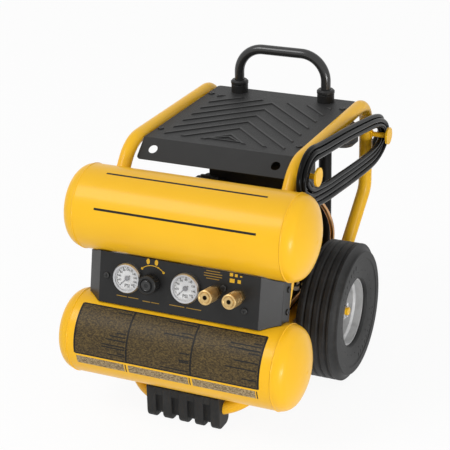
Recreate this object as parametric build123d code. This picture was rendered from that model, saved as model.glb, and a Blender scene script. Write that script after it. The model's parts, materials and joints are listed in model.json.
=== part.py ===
"""Wheeled twin-tank air compressor on a bent tube frame, in millimetres.

Frame: +X to the right seen from the front, -Y towards the user at the gauges, +Z up.
Origin: middle of the footprint, on the floor.
"""
from build123d import *
import os
from math import asin, cos, degrees, hypot, radians, sin, tan

# ---- overall ----
depth = 589.0            # front of the lower tank to the back of the rear legs
fit = 0.05               # running clearance, radial
gap = 0.4                # clearance between pieces that must not touch

# ---- air receivers ----
tank_r = 76.2
tank_length = 467.0
tank_wall = 2.5
head_depth = 38.0
head_knuckle = 26.0      # tight radius where the head meets the barrel
tank_pitch = 229.0       # centre to centre
stack_lean = 11.4        # degrees, the upper tank lies further back
lower_tank_z = 148.0
bung_r = 13.0
bung_height = 4.0
pipe_r = 8.0
pipe_bore_r = 5.0

# ---- bent tube frame ----
tube_r = 12.7
tube_wall = 2.0
frame_half = 159.4       # side tube centre line, from the middle
top_run_z = 470.0
lower_run_z = 108.0
leg_reach = 87.0         # upper tank axis back to the front bend
leg_angle = 38.0         # front legs, from the vertical
rear_bend_z = 292.0
front_bend_r = 70.0
rear_bend_r = 48.0
low_bend_r = 60.0
run_back = 133.5         # axle back to the low bend
hoop_rise = 41.0         # front hoop legs, from the floor
hoop_y_behind_tank = 7.0
hoop_z = 33.0
hoop_bend_r = 88.0
crossbar_r = 9.5

# ---- wheels ----
wheel_r = 130.0
wheel_width = 80.7
wheel_x = 187.2
axle_behind_tank = 276.9
axle_r = 7.94
axle_half = 209.0
wheel_to_run = 5.1       # tyre to the lower frame tube
bead_r = 63.5            # a 5 inch rim
rim_half = 27.0
flange_r = 67.7
rim_sheet = 2.5
rim_well = 4.0           # depth of the drop centre
web_dish = 7.0
valve_angle = -20.0
hub_r = 17.0
hub_in = 43.0            # hub ends, from the middle plane of the wheel
hub_out = 14.0
tyre_edge_r = 12.0
tyre_wall = 6.0
groove_depth = 3.0
groove_width = 4.0
groove_count = 4
washer_t = 2.0
spacer_wall = 1.0
pin_r = 1.6

# ---- platform for motor and pump ----
platform_t = 4.0
platform_front = -120.0  # from the axle
platform_back = 112.0
platform_lift = 25.0     # underside above the top of the lower run
tongue_half = 108.0
foot_r = 11.0
foot_height = 14.0

# ---- top plate ----
plate_t = 2.0
plate_side_gap = 2.3
plate_front_back = 25.0  # front bend to the fold of the plate
plate_end_gap = 5.0      # rear edge to the rear legs
skirt_length = 45.6
skirt_angle = 40.0
skirt_hole_r = 8.75
skirt_hole_x = 119.0
plate_corner_r = 6.0
rib_width = 7.0
rib_height = 2.2
rib_taper = 42.0         # slope of the ribs' sides, in degrees
rib_pitch = 38.5
rib_angle = 43.5
rib_field_half = 118.0
rib_field_front = 25.0   # bare border in front of the ribs
rib_field_back = 57.0
screw_inset = 8.4        # from the plate's side edge
screw_r = 3.0
plate_screw_front = 50.0
plate_screw_back = 53.0
tab_t = 3.0
slot_length = 17.0
slot_width = 5.0

# ---- handle ----
handle_r = 9.5
handle_half = 90.0
handle_stand = 92.0      # bar centre line above the top runs, pushed in
handle_bend_r = 50.0
handle_wall = 1.8
handle_low_z = 176.0
plug_height = 12.0
post_r = 12.7
post_wall = 1.6
post_behind_edge = 20.5  # plate rear edge to the posts
post_stand = 12.0        # post top above the plate
collar_r = 16.5
collar_lip_r = 17.2
collar_height = 25.0

# ---- rubber foot ----
foot_count = 5
foot_pitch = 31.5
foot_rib = 18.0
foot_front = 22.5        # from the hoop bar centre
foot_back = 21.0
foot_top = 33.0
foot_sleeve = 3.5
foot_corner_r = 14.0
foot_edge_r = 3.0
foot_groove = 8.0        # depth of the gaps between the ribs

# ---- control panel, in the leaning frame of the tank stack ----
panel_front = 40.0       # in front of the plane through both tanks
panel_half = 153.0
panel_side_half = 185.0
chamfer_depth = 26.0
side_depth = 35.0
panel_height = 92.0
panel_t = 2.5
panel_gap = 1.2
panel_screw_spots = ((86.0, 17.0), (126.5, -16.5), (-139.0, 3.5))
side_screw_s = 20.0
side_screw_back = 24.0
bracket_t = 3.0

# ---- gauges, regulator and couplers ----
gauge_x = (-96.5, 16.0)
gauge_s = 5.5
gauge_r = 24.5
bezel_r = 27.0
bezel_out = 10.0
gauge_deep = 12.0
dial_r = 23.5
dial_out = 3.5
dial_t = 1.5
lens_t = 1.5
needle_hub_r = 4.5
needle_length = 17.0
needle_t = 0.8
spindle_r = 1.2
needle_rest = -135.0     # degrees from straight up, at no pressure
regulator_x = -50.5
knob_s = 3.5
knob_r = 17.0
knob_length = 23.0
knob_flutes = 20
stem_r = 5.0
coupler_x = (70.5, 114.5)
coupler_s = 7.0
coupler_r = 8.0
coupler_bore_r = 4.0
coupler_out = 43.0
sleeve_r = 13.0
sleeve_length = 30.0
sleeve_travel = 5.0
hex_flats = 22.0
hex_height = 8.0
coupler_bore_length = 22.0
manifold_front = 25.0
manifold_back = 3.0
manifold_low = -9.0
manifold_high = 22.0
manifold_left = -120.0
manifold_right = 132.0
riser_x = -22.0

# ---- pressure switch and valves on the tanks ----
switch_x = -20.0
switch_size = (62.0, 44.0, 64.0)
switch_off_tank = 14.0
lever_length = 24.0
lever_r = 4.0
relief_x = 48.0
relief_r = 9.0
relief_length = 36.0
ring_r = 8.0
ring_wire = 1.2
ring_pin_r = 1.5
check_x = 105.0
check_r = 12.0
check_length = 34.0
drain_x = 150.0
drain_angle = 150.0      # from the top of the tank round its back; the lowest point is at 180
drain_r = 7.0
drain_length = 22.0
drain_lever_length = 30.0
drain_wall = 3.0
drain_boss = 3.0
drain_spindle_r = 2.5
equaliser_inset = 22.0   # from the panel's left side

# ---- motor and pump ----
drive_before_axle = 8.6
drive_above_feet = 70.0  # shaft height over the isolators
motor_r = 64.0
motor_left = -140.0
motor_right = 2.0
bell_length = 26.0
shaft_r = 9.0
shaft_in_motor = 60.0
motor_foot = 38.0        # shaft axis to the isolators
fin_count = 16
case_right = 84.0
case_r = 46.0
cylinder_x = 44.0
cylinder_r = 33.0
cylinder_fin_r = 41.0
cylinder_top = 108.0     # above the shaft
cylinder_fins = 7
fin_t = 3.0
deck_half = 38.0
head_fins = 7
head_side = 92.0
head_height = 34.0
fan_r = 66.0
fan_x = 98.0
fan_t = 11.0
fan_blades = 7
shroud_left = -31.0
shroud_right = 116.0
shroud_front = 80.0      # from the shaft axis
shroud_back = 72.0
shroud_t = 3.0
shroud_top_gap = 30.0    # below the top plate
shroud_corner_r = 14.0
louvre_count = 5
louvre_pitch = 14.0
louvre_width = 6.0
grille_gap = 8.0
grille_bar = 3.0
filter_beside_post = 49.0
filter_before_post = 34.6
filter_r = 28.5
filter_low = 402.0
filter_height = 46.0
filter_edge = 9.0
hose_r = 8.0
discharge_r = 4.8
discharge_x = 72.0       # where the pipe leaves the head
discharge_pipe_x = 122.0 # where it runs beside the shroud
hose_x = 28.0
signal_r = 3.0

# ---- cord ----
cord_r = 4.5
peg_r = 5.0
peg_disc_r = 16.5
peg_disc_t = 4.0
peg_reach = 48.0         # side tube centre to the face of the disc
rear_peg_z = 404.0
front_peg_drop = 14.5    # below the top run
coil_front_x = 188.4
coil_rear_x = 189.4
coil_half_x = 10.0       # half thickness of the hanging turns, across the coil's plane
coil_half_r = 12.0       # and in it
plug_r = 13.0
plug_length = 26.0
plug_boot = 18.0

# ---- derived places ----
lower_y = -depth / 2 + tank_r
upper_y = lower_y + tank_pitch * sin(radians(stack_lean))
upper_tank_z = lower_tank_z + tank_pitch * cos(radians(stack_lean))
rear_leg_y = depth / 2 - tube_r
front_corner_y = upper_y + leg_reach
axle_y = lower_y + axle_behind_tank
drive_y = axle_y - drive_before_axle
run_half = wheel_x - wheel_width / 2 - wheel_to_run - tube_r
low_corner_y = axle_y + run_back
hoop_y = lower_y + hoop_y_behind_tank
hoop_top_y = hoop_y + (lower_run_z - hoop_z) / tan(radians(hoop_rise))
platform_z = lower_run_z + tube_r + platform_lift - platform_t
platform_top = platform_z + platform_t
split_y = axle_y + platform_front
plate_half = frame_half - tube_r - plate_side_gap
plate_z = top_run_z
plate_top = plate_z + plate_t
plate_front = front_corner_y + plate_front_back
plate_back = rear_leg_y - tube_r - plate_end_gap
post_y = plate_back - post_behind_edge
screw_x = plate_half - screw_inset
equaliser_x = equaliser_inset - panel_side_half
filter_x = handle_half + filter_beside_post
filter_y = post_y - filter_before_post
drive_z = platform_top + foot_height + drive_above_feet
shroud_top = plate_z - shroud_top_gap
disc_x = frame_half + peg_reach
front_peg_z = top_run_z - front_peg_drop
front_peg_y = front_corner_y - front_peg_drop * tan(radians(leg_angle))

stack = Pos(0, (lower_y + upper_y) / 2, (lower_tank_z + upper_tank_z) / 2) * Rot(-stack_lean, 0, 0)
FACING = Rot(90, 0, 0)   # local +Z turned to the front, for pieces on the panel


def rod(radius, start, end):
    """A round bar between two points."""
    start, end = Vector(*start), Vector(*end)
    plane = Plane(origin=start, z_dir=end - start)
    return extrude(plane * Circle(radius), amount=(end - start).length)


def pipe(radius, bore, start, end):
    return rod(radius, start, end) - rod(bore, start, end)


def block(x, y, z):
    """A box from three (low, high) pairs."""
    centre = [(low + high) / 2 for low, high in (x, y, z)]
    return Pos(*centre) * Box(x[1] - x[0], y[1] - y[0], z[1] - z[0])


def run_along(path, radius):
    return sweep(Plane(origin=path @ 0, z_dir=path % 0) * Circle(radius), path=path)


def bent_tube(points, radii, radius, wall):
    path = FilletPolyline(*points, radius=radii)
    return run_along(path, radius) - run_along(path, radius - wall)


def turned(points, axis=Axis.Z):
    """A solid of revolution from the points of its half section."""
    return revolve(Plane.XZ * make_face(Polyline(*points, close=True)), axis)


def mirrored(part):
    return mirror(part, about=Plane.YZ)


# ---------------------------------------------------------------- air receivers
def tank_solid(radius, half_length, crown, knuckle):
    """Barrel with dished ends: a wide crown arc that runs into a small knuckle arc."""
    straight = half_length - crown
    crown_r = (crown**2 + (radius - knuckle) ** 2 - knuckle**2) / (2 * (crown - knuckle))
    spread = degrees(asin((radius - knuckle) / (crown_r - knuckle)))
    outline = [
        CenterArc((half_length - crown_r, 0), crown_r, 0, spread),
        CenterArc((straight, radius - knuckle), knuckle, spread, 90 - spread),
        Line((straight, radius), (-straight, radius)),
        CenterArc((-straight, radius - knuckle), knuckle, 90, 90 - spread),
        CenterArc((crown_r - half_length, 0), crown_r, 180 - spread, spread),
        Line((-half_length, 0), (half_length, 0)),
    ]
    return revolve(make_face(outline), Axis.X)


def receiver(ports):
    """A receiver about its own axis; each port is (x, angle from the top towards the back)."""
    half = tank_length / 2
    shell = tank_solid(tank_r, half, head_depth, head_knuckle)
    weld = Pos(half - head_depth, 0, 0) * Rot(0, 90, 0) * Torus(tank_r - 0.4, 1.6)
    shell += weld + mirrored(weld)
    cavity = tank_solid(tank_r - tank_wall, half - tank_wall, head_depth - tank_wall,
                        head_knuckle - tank_wall)
    bungs, bores = [], []
    for x, angle in ports:
        out = Pos(x, 0, 0) * Rot(-angle, 0, 0)
        bungs.append(out * rod(bung_r, (0, 0, tank_r - tank_wall / 2), (0, 0, tank_r + bung_height)))
        bores.append(out * rod(pipe_r, (0, 0, tank_r / 2), (0, 0, tank_r + bung_height)))
    return shell + bungs - cavity - bores


def riser_angle():
    """Port angle that aims the riser at the manifold, which lies in front of the stack's plane."""
    return 180 + stack_lean + degrees(asin((manifold_front + manifold_back) / 2 / tank_r))


def upper_tank():
    ports = [(riser_x, riser_angle()), (equaliser_x, 180 + stack_lean), (switch_x, 90), (relief_x, 90)]
    return Pos(0, upper_y, upper_tank_z) * receiver(ports)


def lower_tank():
    ports = [(equaliser_x, stack_lean), (check_x, 90), (drain_x, drain_angle)]
    return Pos(0, lower_y, lower_tank_z) * receiver(ports)


def equaliser_pipe():
    """A nipple between the two receivers, with a union nut at mid length."""
    half = tank_pitch / 2 - tank_r - bung_height
    nipple = pipe(pipe_r, pipe_bore_r, (0, 0, -half), (0, 0, half))
    union = Pos(0, 0, -9) * extrude(RegularPolygon(pipe_r + 6, 6) - Circle(pipe_r), amount=18)
    return stack * Pos(equaliser_x, 0, 0) * (nipple + union)


def stack_tanks(radius):
    """Both receivers' barrels in the stack's frame, for cutting what fits between them."""
    barrel = Rot(0, 90, 0) * Cylinder(radius, tank_length)
    return [Pos(0, 0, side * tank_pitch / 2) * barrel for side in (-1, 1)]


def tank_brackets():
    """Side plates welded between the tanks, which also carry the panel's ends."""
    inner = panel_side_half - panel_t - bracket_t
    front = chamfer_depth - panel_front + 3
    outline = Polyline((front, -60), (front + 26, -60), (front + 62, 60), (front, 60), close=True)
    plate = extrude(Plane.YZ * make_face(outline), amount=bracket_t)
    plate = Pos(inner, 0, 0) * plate - stack_tanks(tank_r)
    for s in (-side_screw_s, side_screw_s):
        plate -= Pos(inner, side_screw_y(), s) * Rot(0, 90, 0) * Cylinder(screw_r, 4 * bracket_t)
    right = stack * plate.solids().sort_by(lambda solid: solid.volume)[-1]
    return Compound([right, mirrored(right)])


def side_screw_y():
    return chamfer_depth - panel_front + side_screw_back


# ---------------------------------------------------------------- frame
def leg_direction():
    return Vector(0, -sin(radians(leg_angle)), -cos(radians(leg_angle)))


def side_points():
    corner = Vector(frame_half, front_corner_y, top_run_z)
    to_axis = (Vector(frame_half, upper_y, upper_tank_z) - corner).dot(leg_direction())
    return [
        corner + leg_direction() * (to_axis - 0.85 * tank_r),
        corner,
        Vector(frame_half, rear_leg_y, top_run_z),
        Vector(frame_half, rear_leg_y, rear_bend_z),
        Vector(run_half, low_corner_y, lower_run_z),
        Vector(run_half, split_y, lower_run_z),
    ]


def side_path():
    return FilletPolyline(*side_points(), radius=[front_bend_r, rear_bend_r, low_bend_r, low_bend_r])


def plate_screw_places():
    front, back = plate_front + plate_screw_front, plate_back - plate_screw_back
    return [(side * screw_x, y) for side in (-1, 1) for y in (front, back)]


def side_tube():
    """Tank weld, top run, rear leg and lower run in one bent tube, with tabs for the top plate."""
    tube = run_along(side_path(), tube_r)
    for x, y in plate_screw_places()[2:]:
        tab = block((x - 11, frame_half), (y - 14, y + 14), (plate_z - tab_t, plate_z))
        tube += tab - Pos(x, y, plate_z) * Cylinder(screw_r, 4 * tab_t)
    tube -= run_along(side_path(), tube_r - tube_wall)
    return tube - Pos(0, upper_y, upper_tank_z) * Rot(0, 90, 0) * Cylinder(tank_r, tank_length)


def hoop_path():
    right = [(run_half, split_y, lower_run_z), (run_half, hoop_top_y, lower_run_z),
             (run_half, hoop_y, hoop_z)]
    left = [(-x, y, z) for x, y, z in reversed(right)]
    radii = [low_bend_r, hoop_bend_r, hoop_bend_r, low_bend_r]
    return FilletPolyline(*right, *left, radius=radii)


def front_hoop():
    """Hoop under the lower tank, with a gusset each side welded to the tank."""
    tube = run_along(hoop_path(), tube_r)
    gusset = block((-3, 3), (hoop_top_y - 50, hoop_top_y + 2), (lower_run_z, lower_run_z + 34))
    tank = Pos(0, lower_y, lower_tank_z) * Rot(0, 90, 0) * Cylinder(tank_r, tank_length)
    gusset = Pos(run_half, 0, 0) * gusset - tank
    tube = tube + gusset + mirrored(gusset) - run_along(hoop_path(), tube_r - tube_wall)
    return tube - tank


def rear_crossbar(sides):
    """Cross-tube on the platform, between the slanted parts of the side tubes."""
    z = platform_top + crossbar_r
    rise = (z - lower_run_z) / (rear_bend_z - lower_run_z)
    y = low_corner_y + rise * (rear_leg_y - low_corner_y)
    half = run_half + rise * (frame_half - run_half)
    bar = pipe(crossbar_r, crossbar_r - tube_wall, (-half, y, z), (half, y, z)) - sides
    return bar.solids().sort_by(lambda solid: solid.volume)[-1]


# ---------------------------------------------------------------- platform and wheels
def platform():
    front, back = axle_y + platform_front, axle_y + platform_back
    half, end = run_half + 8, post_y + post_r + 6
    outline = Polyline((-half, front), (half, front), (half, back - 20), (tongue_half, back),
                       (tongue_half, end),
                       (-tongue_half, end), (-tongue_half, back), (-half, back - 20), close=True)
    plate = extrude(Pos(0, 0, platform_z) * make_face(outline), amount=platform_t)
    plate = fillet(plate.edges().filter_by(Axis.Z), 5)
    for x, y in isolator_places():
        plate -= Pos(x, y, platform_z) * Cylinder(screw_r, 4 * platform_t)
    return plate


def axle_brackets():
    """Upright plates between the lower runs and the platform, which hold the axle."""
    front, back = axle_y + platform_front + 6, axle_y + platform_back - 34
    plate = block((run_half - 2, run_half + 2), (front, back), (lower_run_z, platform_z))
    plate -= rod(tube_r, (run_half, front - 1, lower_run_z), (run_half, back + 1, lower_run_z))
    plate -= Pos(run_half, axle_y, wheel_r) * Rot(0, 90, 0) * Cylinder(axle_r, 20)
    return Compound([plate, mirrored(plate)])


def axle():
    bar = rod(axle_r, (-axle_half, axle_y, wheel_r), (axle_half, axle_y, wheel_r))
    bar = chamfer(bar.edges().filter_by(GeomType.CIRCLE), 1)
    for side in (-1, 1):
        bar -= Pos(side * pin_x(), axle_y, wheel_r) * Cylinder(pin_r, 40)
    return bar


def hub_span():
    return wheel_x - hub_in, wheel_x + hub_out


def pin_x():
    return hub_span()[1] + gap + washer_t + pin_r


def axle_hardware():
    """For each wheel: an inner spacer, an outer washer and a split pin."""
    inner, outer = hub_span()
    sleeve = pipe(axle_r + spacer_wall, axle_r, (run_half + 2, axle_y, wheel_r),
                  (inner - gap, axle_y, wheel_r))
    washer = pipe(axle_r + 6, axle_r, (outer + gap, axle_y, wheel_r),
                  (outer + gap + washer_t, axle_y, wheel_r))
    pin = Pos(pin_x(), axle_y, wheel_r) * Cylinder(pin_r, 2 * axle_r + 8)
    pin += Pos(pin_x(), axle_y, wheel_r + axle_r + 6) * Rot(0, 90, 0) * Torus(3, pin_r)
    right = [sleeve, washer, pin]
    return Compound(right + [mirrored(piece) for piece in right])


def about_axle(part):
    """Places a piece turned about Z, its +Z becoming the outward direction of the right wheel."""
    return Pos(wheel_x, axle_y, wheel_r) * Rot(0, 90, 0) * part


def rim():
    """Pressed steel rim: a smooth barrel with a dished web far inside it, on a tubular hub."""
    t, well = rim_sheet, rim_well
    web_x = -rim_half + 9
    barrel = turned([
        (flange_r, -rim_half), (flange_r, -rim_half + t), (bead_r, -rim_half + t), (bead_r, -12),
        (bead_r - well, -8),
        (bead_r - well, 8), (bead_r, 12), (bead_r, rim_half - t), (flange_r, rim_half - t),
        (flange_r, rim_half),
        (bead_r - t, rim_half), (bead_r - t, 13), (bead_r - t - well, 9), (bead_r - t - well, -9),
        (bead_r - t, -13),
        (bead_r - t, -rim_half)])
    foot, crown = bead_r - t + 0.5, web_x + web_dish
    web = turned([
        (hub_r - 1, crown), (hub_r + 5, crown), (hub_r + 12, web_x), (foot, web_x), (foot, web_x + t),
        (hub_r + 13, web_x + t), (hub_r + 6, crown + t), (hub_r - 1, crown + t)])
    hub = Pos(0, 0, (hub_out - hub_in) / 2) * Cylinder(hub_r, hub_out + hub_in)
    bolt = Pos(hub_r + 20, 0, web_x + t - 0.5) * extrude(RegularPolygon(5, 6), amount=5)
    stem = Pos(bead_r - t - well - 6, 0, 0) * Rot(0, -60, 0) * (Cylinder(4, 14)
                                                                + Pos(0, 0, 10) * Cylinder(2.8, 12))
    shape = barrel + web + hub + [Rot(0, 0, 45 + 90 * k) * bolt for k in range(4)]
    shape += Rot(0, 0, valve_angle) * stem
    return about_axle(shape - Cylinder(axle_r + fit, 200))


def tyre():
    """Pneumatic tyre: ribbed tread, stepped shoulders, and beads whose lips cover the rim's flanges."""
    half, edge = wheel_width / 2, tyre_edge_r
    seat = rim_half - rim_sheet
    inner_r = wheel_r - tyre_wall - groove_depth
    waist_r = (wheel_r + flange_r) / 2 - 6
    tread = wheel_r, half - edge
    shoulder, band = (wheel_r - edge, half - 1.5), (wheel_r - edge - 2, half)
    brow, lip = (waist_r, half - 2.5), (flange_r - 1, rim_half + 7)
    over, toe = (bead_r + 0.5, rim_half + 2.5), (bead_r + 6, seat - 12)
    section = make_face([
        Line((wheel_r, 0), tread),
        RadiusArc(tread, shoulder, edge),
        Polyline(shoulder, band, (band[0] - 12, half - 0.5), (band[0] - 13.5, half - 2)),
        ThreePointArc((band[0] - 13.5, half - 2), brow, lip),
        ThreePointArc(lip, (bead_r + 1.7, rim_half + 5.2), over),
        Polyline(over, (bead_r + 0.5, rim_half + fit), (flange_r + 0.5, rim_half + fit),
                 (flange_r + 0.5, seat),
                 (bead_r, seat), (bead_r, seat - 12), toe),
        ThreePointArc(toe, (waist_r, half - 3 - tyre_wall), (inner_r, half - edge - tyre_wall)),
        Polyline((inner_r, half - edge - tyre_wall), (inner_r, 0), (wheel_r, 0)),
    ])
    side = revolve(Plane.XZ * section, Axis.Z)
    shape = side + mirror(side, about=Plane.XY)
    step = 2 * (half - edge) / groove_count
    for k in range(groove_count):
        bottom = wheel_r - groove_depth
        groove = turned([(wheel_r + 1, -groove_width), (wheel_r + 1, groove_width),
                         (wheel_r, groove_width / 2 + 1),
                         (bottom, groove_width / 2 - 1), (bottom, 1 - groove_width / 2),
                         (wheel_r, -groove_width / 2 - 1)])
        shape -= Pos(0, 0, (k + 0.5) * step - (half - edge)) * groove
    return about_axle(shape)


# ---------------------------------------------------------------- top plate and handle
def rib_pattern():
    """Chevrons pressed up out of the plate, clipped to a plain border."""
    front, back = plate_front + rib_field_front, plate_back - rib_field_back
    field = Pos(0, (front + back) / 2) * Rectangle(2 * rib_field_half, back - front)
    drop = rib_field_half * tan(radians(rib_angle))
    wide = rib_width / cos(radians(rib_angle)) / 2
    count = int((back - front + drop) / rib_pitch)
    ribs = []
    for k in range(count + 1):
        tip = front + rib_pitch * (k + 1)
        chevron = make_face(Polyline(
            (0, tip + wide), (-rib_field_half, tip + wide - drop), (-rib_field_half, tip - wide - drop),
            (0, tip - wide), (rib_field_half, tip - wide - drop), (rib_field_half, tip + wide - drop),
            close=True))
        for face in (chevron & field).faces():
            if face.area > rib_width**2:
                ribs.append(extrude(Pos(0, 0, plate_top) * face, amount=rib_height, taper=rib_taper))
    return ribs


def top_plate():
    """Plate over the side tubes' tabs, with a sloping skirt at the front."""
    deck = block((-plate_half, plate_half), (plate_front, plate_back), (plate_z, plate_top))
    deck = fillet(deck.edges().filter_by(Axis.Z).group_by(Axis.Y)[-1], plate_corner_r)
    slope = Pos(0, plate_front, plate_top) * Rot(skirt_angle, 0, 0)
    skirt = slope * block((-plate_half, plate_half), (-skirt_length, 0), (-plate_t, 0))
    skirt = fillet(skirt.edges().filter_by(GeomType.LINE).filter_by(lambda e: abs(e.length - plate_t) < 0.01)
                   .group_by(Axis.Y)[0], plate_corner_r)
    for side in (-1, 1):
        skirt -= slope * Pos(side * skirt_hole_x, -skirt_length / 2, 0) * Cylinder(skirt_hole_r, 4 * plate_t)
    plate = deck + skirt + rib_pattern()
    for x, y in plate_screw_places():
        plate -= Pos(x, y, plate_z) * Cylinder(screw_r, 4 * plate_t)
    for side in (-1, 1):
        plate -= Pos(side * handle_half, post_y, plate_z) * Cylinder(post_r + gap, 4 * plate_t)
    slot = extrude(SlotOverall(slot_length, slot_width), amount=4 * plate_t, both=True)
    return plate - Pos(-handle_half - 22, post_y - 37, plate_z) * slot


def screw(place, length):
    """Pan-head screw whose head sits on local z = 0, its shank going down."""
    head = Cylinder(1.9 * screw_r, 0.9 * screw_r, align=(Align.CENTER, Align.CENTER, Align.MIN))
    head = fillet(head.edges().group_by(Axis.Z)[-1], 0.5 * screw_r)
    head -= Pos(0, 0, 0.9 * screw_r) * (Box(2.2 * screw_r, 0.4 * screw_r, screw_r)
                                        + Box(0.4 * screw_r, 2.2 * screw_r, screw_r))
    shank = Cylinder(screw_r, length, align=(Align.CENTER, Align.CENTER, Align.MAX))
    return place * (head + shank)


def plate_screws():
    return Compound([screw(Pos(x, y, plate_top), plate_t + tab_t) for x, y in plate_screw_places()])


def post():
    """Socket tube for one handle leg, from the platform up through the top plate."""
    return pipe(post_r, post_r - post_wall, (handle_half, post_y, platform_top),
                (handle_half, post_y, plate_top + post_stand))


def post_collars():
    """Moulded collars over the post ends: a plain skirt, a groove and a chamfered rim round the handle."""
    top, seat = plate_top + collar_height, plate_top + post_stand
    rim_low = top - collar_height / 3
    collar = turned([
        (post_r, plate_top), (collar_r, plate_top), (collar_r, rim_low - 1.5), (collar_r - 1, rim_low - 1),
        (collar_r - 1, rim_low), (collar_lip_r, rim_low + 1), (collar_lip_r, top - 3),
        (collar_lip_r - 3, top),
        (handle_r + fit, top), (handle_r + fit, seat), (post_r, seat)])
    collar = Pos(handle_half, post_y, 0) * collar
    return Compound([collar, mirrored(collar)])


def handle():
    """Bent tube handle; its legs slide in the posts on plastic end plugs."""
    low = [(handle_half, post_y, handle_low_z), (handle_half, post_y, top_run_z + handle_stand)]
    points = low + [(-x, y, z) for x, y, z in reversed(low)]
    tube = bent_tube(points, handle_bend_r, handle_r, handle_wall)
    plug = Cylinder(post_r - post_wall - fit, plug_height) + Pos(0, 0, plug_height / 2) * Cylinder(
        handle_r - handle_wall, plug_height)
    plug = Pos(handle_half, post_y, handle_low_z - plug_height / 2) * plug
    return tube + plug + mirrored(plug)


# ---------------------------------------------------------------- rubber foot
def foot_profile(front, back, low, corner):
    """Side outline of the foot, from y = front to y = back and up from low, with rounded lower corners."""
    top = hoop_z + foot_top
    outline = make_face(Polyline((front, low), (back, low), (back, top), (front, top), close=True))
    outline = fillet(outline.vertices().group_by(Axis.Y)[0], corner)
    return fillet(outline.vertices().group_by(Axis.Y)[-1], corner / 3)


def rubber_foot():
    """Moulded foot over the hoop's bar: round-edged ribs on a narrower core that grips the bar."""
    half = foot_pitch * (foot_count - 1) / 2
    core = extrude(Plane.YZ * foot_profile(foot_groove - foot_front, foot_back - foot_groove, foot_groove,
                                            foot_corner_r - foot_groove),
                   amount=half, both=True)
    rib = extrude(Plane.YZ * foot_profile(-foot_front, foot_back, 0, foot_corner_r), amount=foot_rib / 2,
                  both=True)
    rib = fillet(rib.edges().filter_by(Plane.YZ), foot_edge_r)
    body = core + [Pos((k - (foot_count - 1) / 2) * foot_pitch, 0, 0) * rib for k in range(foot_count)]
    web = block((-half, half), (-foot_front + 2, foot_back - 2),
                (hoop_z + tube_r + foot_sleeve, hoop_z + foot_top - 2))
    body = Pos(0, hoop_y, 0) * (body + web)
    return body - run_along(hoop_path(), tube_r)


# ---------------------------------------------------------------- control panel and what it carries
def on_panel(x, s):
    """A place on the panel's front; local +Z points to the front and +Y up the panel."""
    return stack * Pos(x, -panel_front, s) * FACING


def panel_outline(inset):
    corner = inset * tan(asin(chamfer_depth / hypot(chamfer_depth, panel_side_half - panel_half)) / 2)
    front, mid, back = -panel_front, chamfer_depth - panel_front, chamfer_depth - panel_front + side_depth
    slope = hypot(chamfer_depth, panel_side_half - panel_half) - chamfer_depth
    turn = inset * slope / (panel_side_half - panel_half)
    right = [(panel_half - corner, front + inset), (panel_side_half - inset, mid + turn),
             (panel_side_half - inset, back)]
    return [(-x, y) for x, y in reversed(right)] + right


def control_panel():
    """Folded sheet across the front of the stack, with openings for what comes through it."""
    sheet = make_face(Polyline(*panel_outline(0), *reversed(panel_outline(panel_t)), close=True))
    sheet = Pos(0, 0, -panel_height / 2) * extrude(sheet, amount=panel_height)
    sheet -= stack_tanks(tank_r + panel_gap)
    sheet = stack * sheet
    holes = [(x, gauge_s, gauge_r + gap) for x in gauge_x] + [(regulator_x, knob_s, stem_r + 8 + gap)]
    holes += [(x, coupler_s, coupler_r + gap) for x in coupler_x]
    holes += [(x, s, screw_r) for x, s in panel_screw_spots]
    for x, s, radius in holes:
        sheet -= on_panel(x, s) * Cylinder(radius, 6 * panel_t)
    for side in (-1, 1):
        for s in (-side_screw_s, side_screw_s):
            sheet -= side_screw_place(side, s) * Cylinder(screw_r, 6 * panel_t)
    return sheet


def side_screw_place(side, s):
    return stack * Pos(side * panel_side_half, side_screw_y(), s) * Rot(0, 90 * side, 0)


def panel_screws():
    """Two screws each side into the brackets, and three in front into clip nuts."""
    screws = [screw(side_screw_place(side, s), panel_t + bracket_t) for side in (-1, 1)
              for s in (-side_screw_s, side_screw_s)]
    screws += [screw(on_panel(x, s), panel_t) for x, s in panel_screw_spots]
    return Compound(screws)


def manifold():
    """Air block behind the panel, with its riser from the upper receiver."""
    bar = block((manifold_left, manifold_right), (-manifold_front, -manifold_back),
                (manifold_low, manifold_high))
    bar = chamfer(bar.edges().filter_by(Axis.X), 2)
    bar = stack * bar
    out = Pos(riser_x, upper_y, upper_tank_z) * Rot(-riser_angle(), 0, 0)
    low = tank_pitch / 2 - manifold_high + 4
    riser = out * rod(pipe_r, (0, 0, tank_r + bung_height), (0, 0, low))
    nut = out * Pos(0, 0, tank_r + bung_height + 2) * extrude(RegularPolygon(pipe_r + 5, 6), amount=8)
    return bar + riser + nut


def gauge_cases():
    """Brass-backed cases with a plated bezel ring; the stem goes back to the manifold."""
    back = panel_front - manifold_front
    case = turned([
        (0, -back), (6, -back), (6, -gauge_deep), (gauge_r, -gauge_deep + 2), (gauge_r, 0), (bezel_r, 0),
        (bezel_r, bezel_out - 3), (bezel_r - 2, bezel_out), (dial_r - 1.5, bezel_out - 0.5),
        (dial_r - 1.5, lens_z()), (dial_r, lens_z()), (dial_r, dial_out - dial_t),
        (dial_r - 1.5, dial_out - dial_t),
        (dial_r - 1.5, -gauge_deep + 4), (0, -gauge_deep + 4)])
    return Compound([on_panel(x, gauge_s) * case for x in gauge_x])


def lens_z():
    """Front face of the lens, under the bezel's lip."""
    return bezel_out - 2.0


def gauge_dials():
    dial = Pos(0, 0, dial_out - dial_t / 2) * (Cylinder(dial_r, dial_t)
                                               - Cylinder(spindle_r + fit, 2 * dial_t))
    return Compound([on_panel(x, gauge_s) * dial for x in gauge_x])


def gauge_lenses():
    lens = Pos(0, 0, lens_z() - lens_t / 2) * Cylinder(dial_r, lens_t)
    return Compound([on_panel(x, gauge_s) * lens for x in gauge_x])


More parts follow.
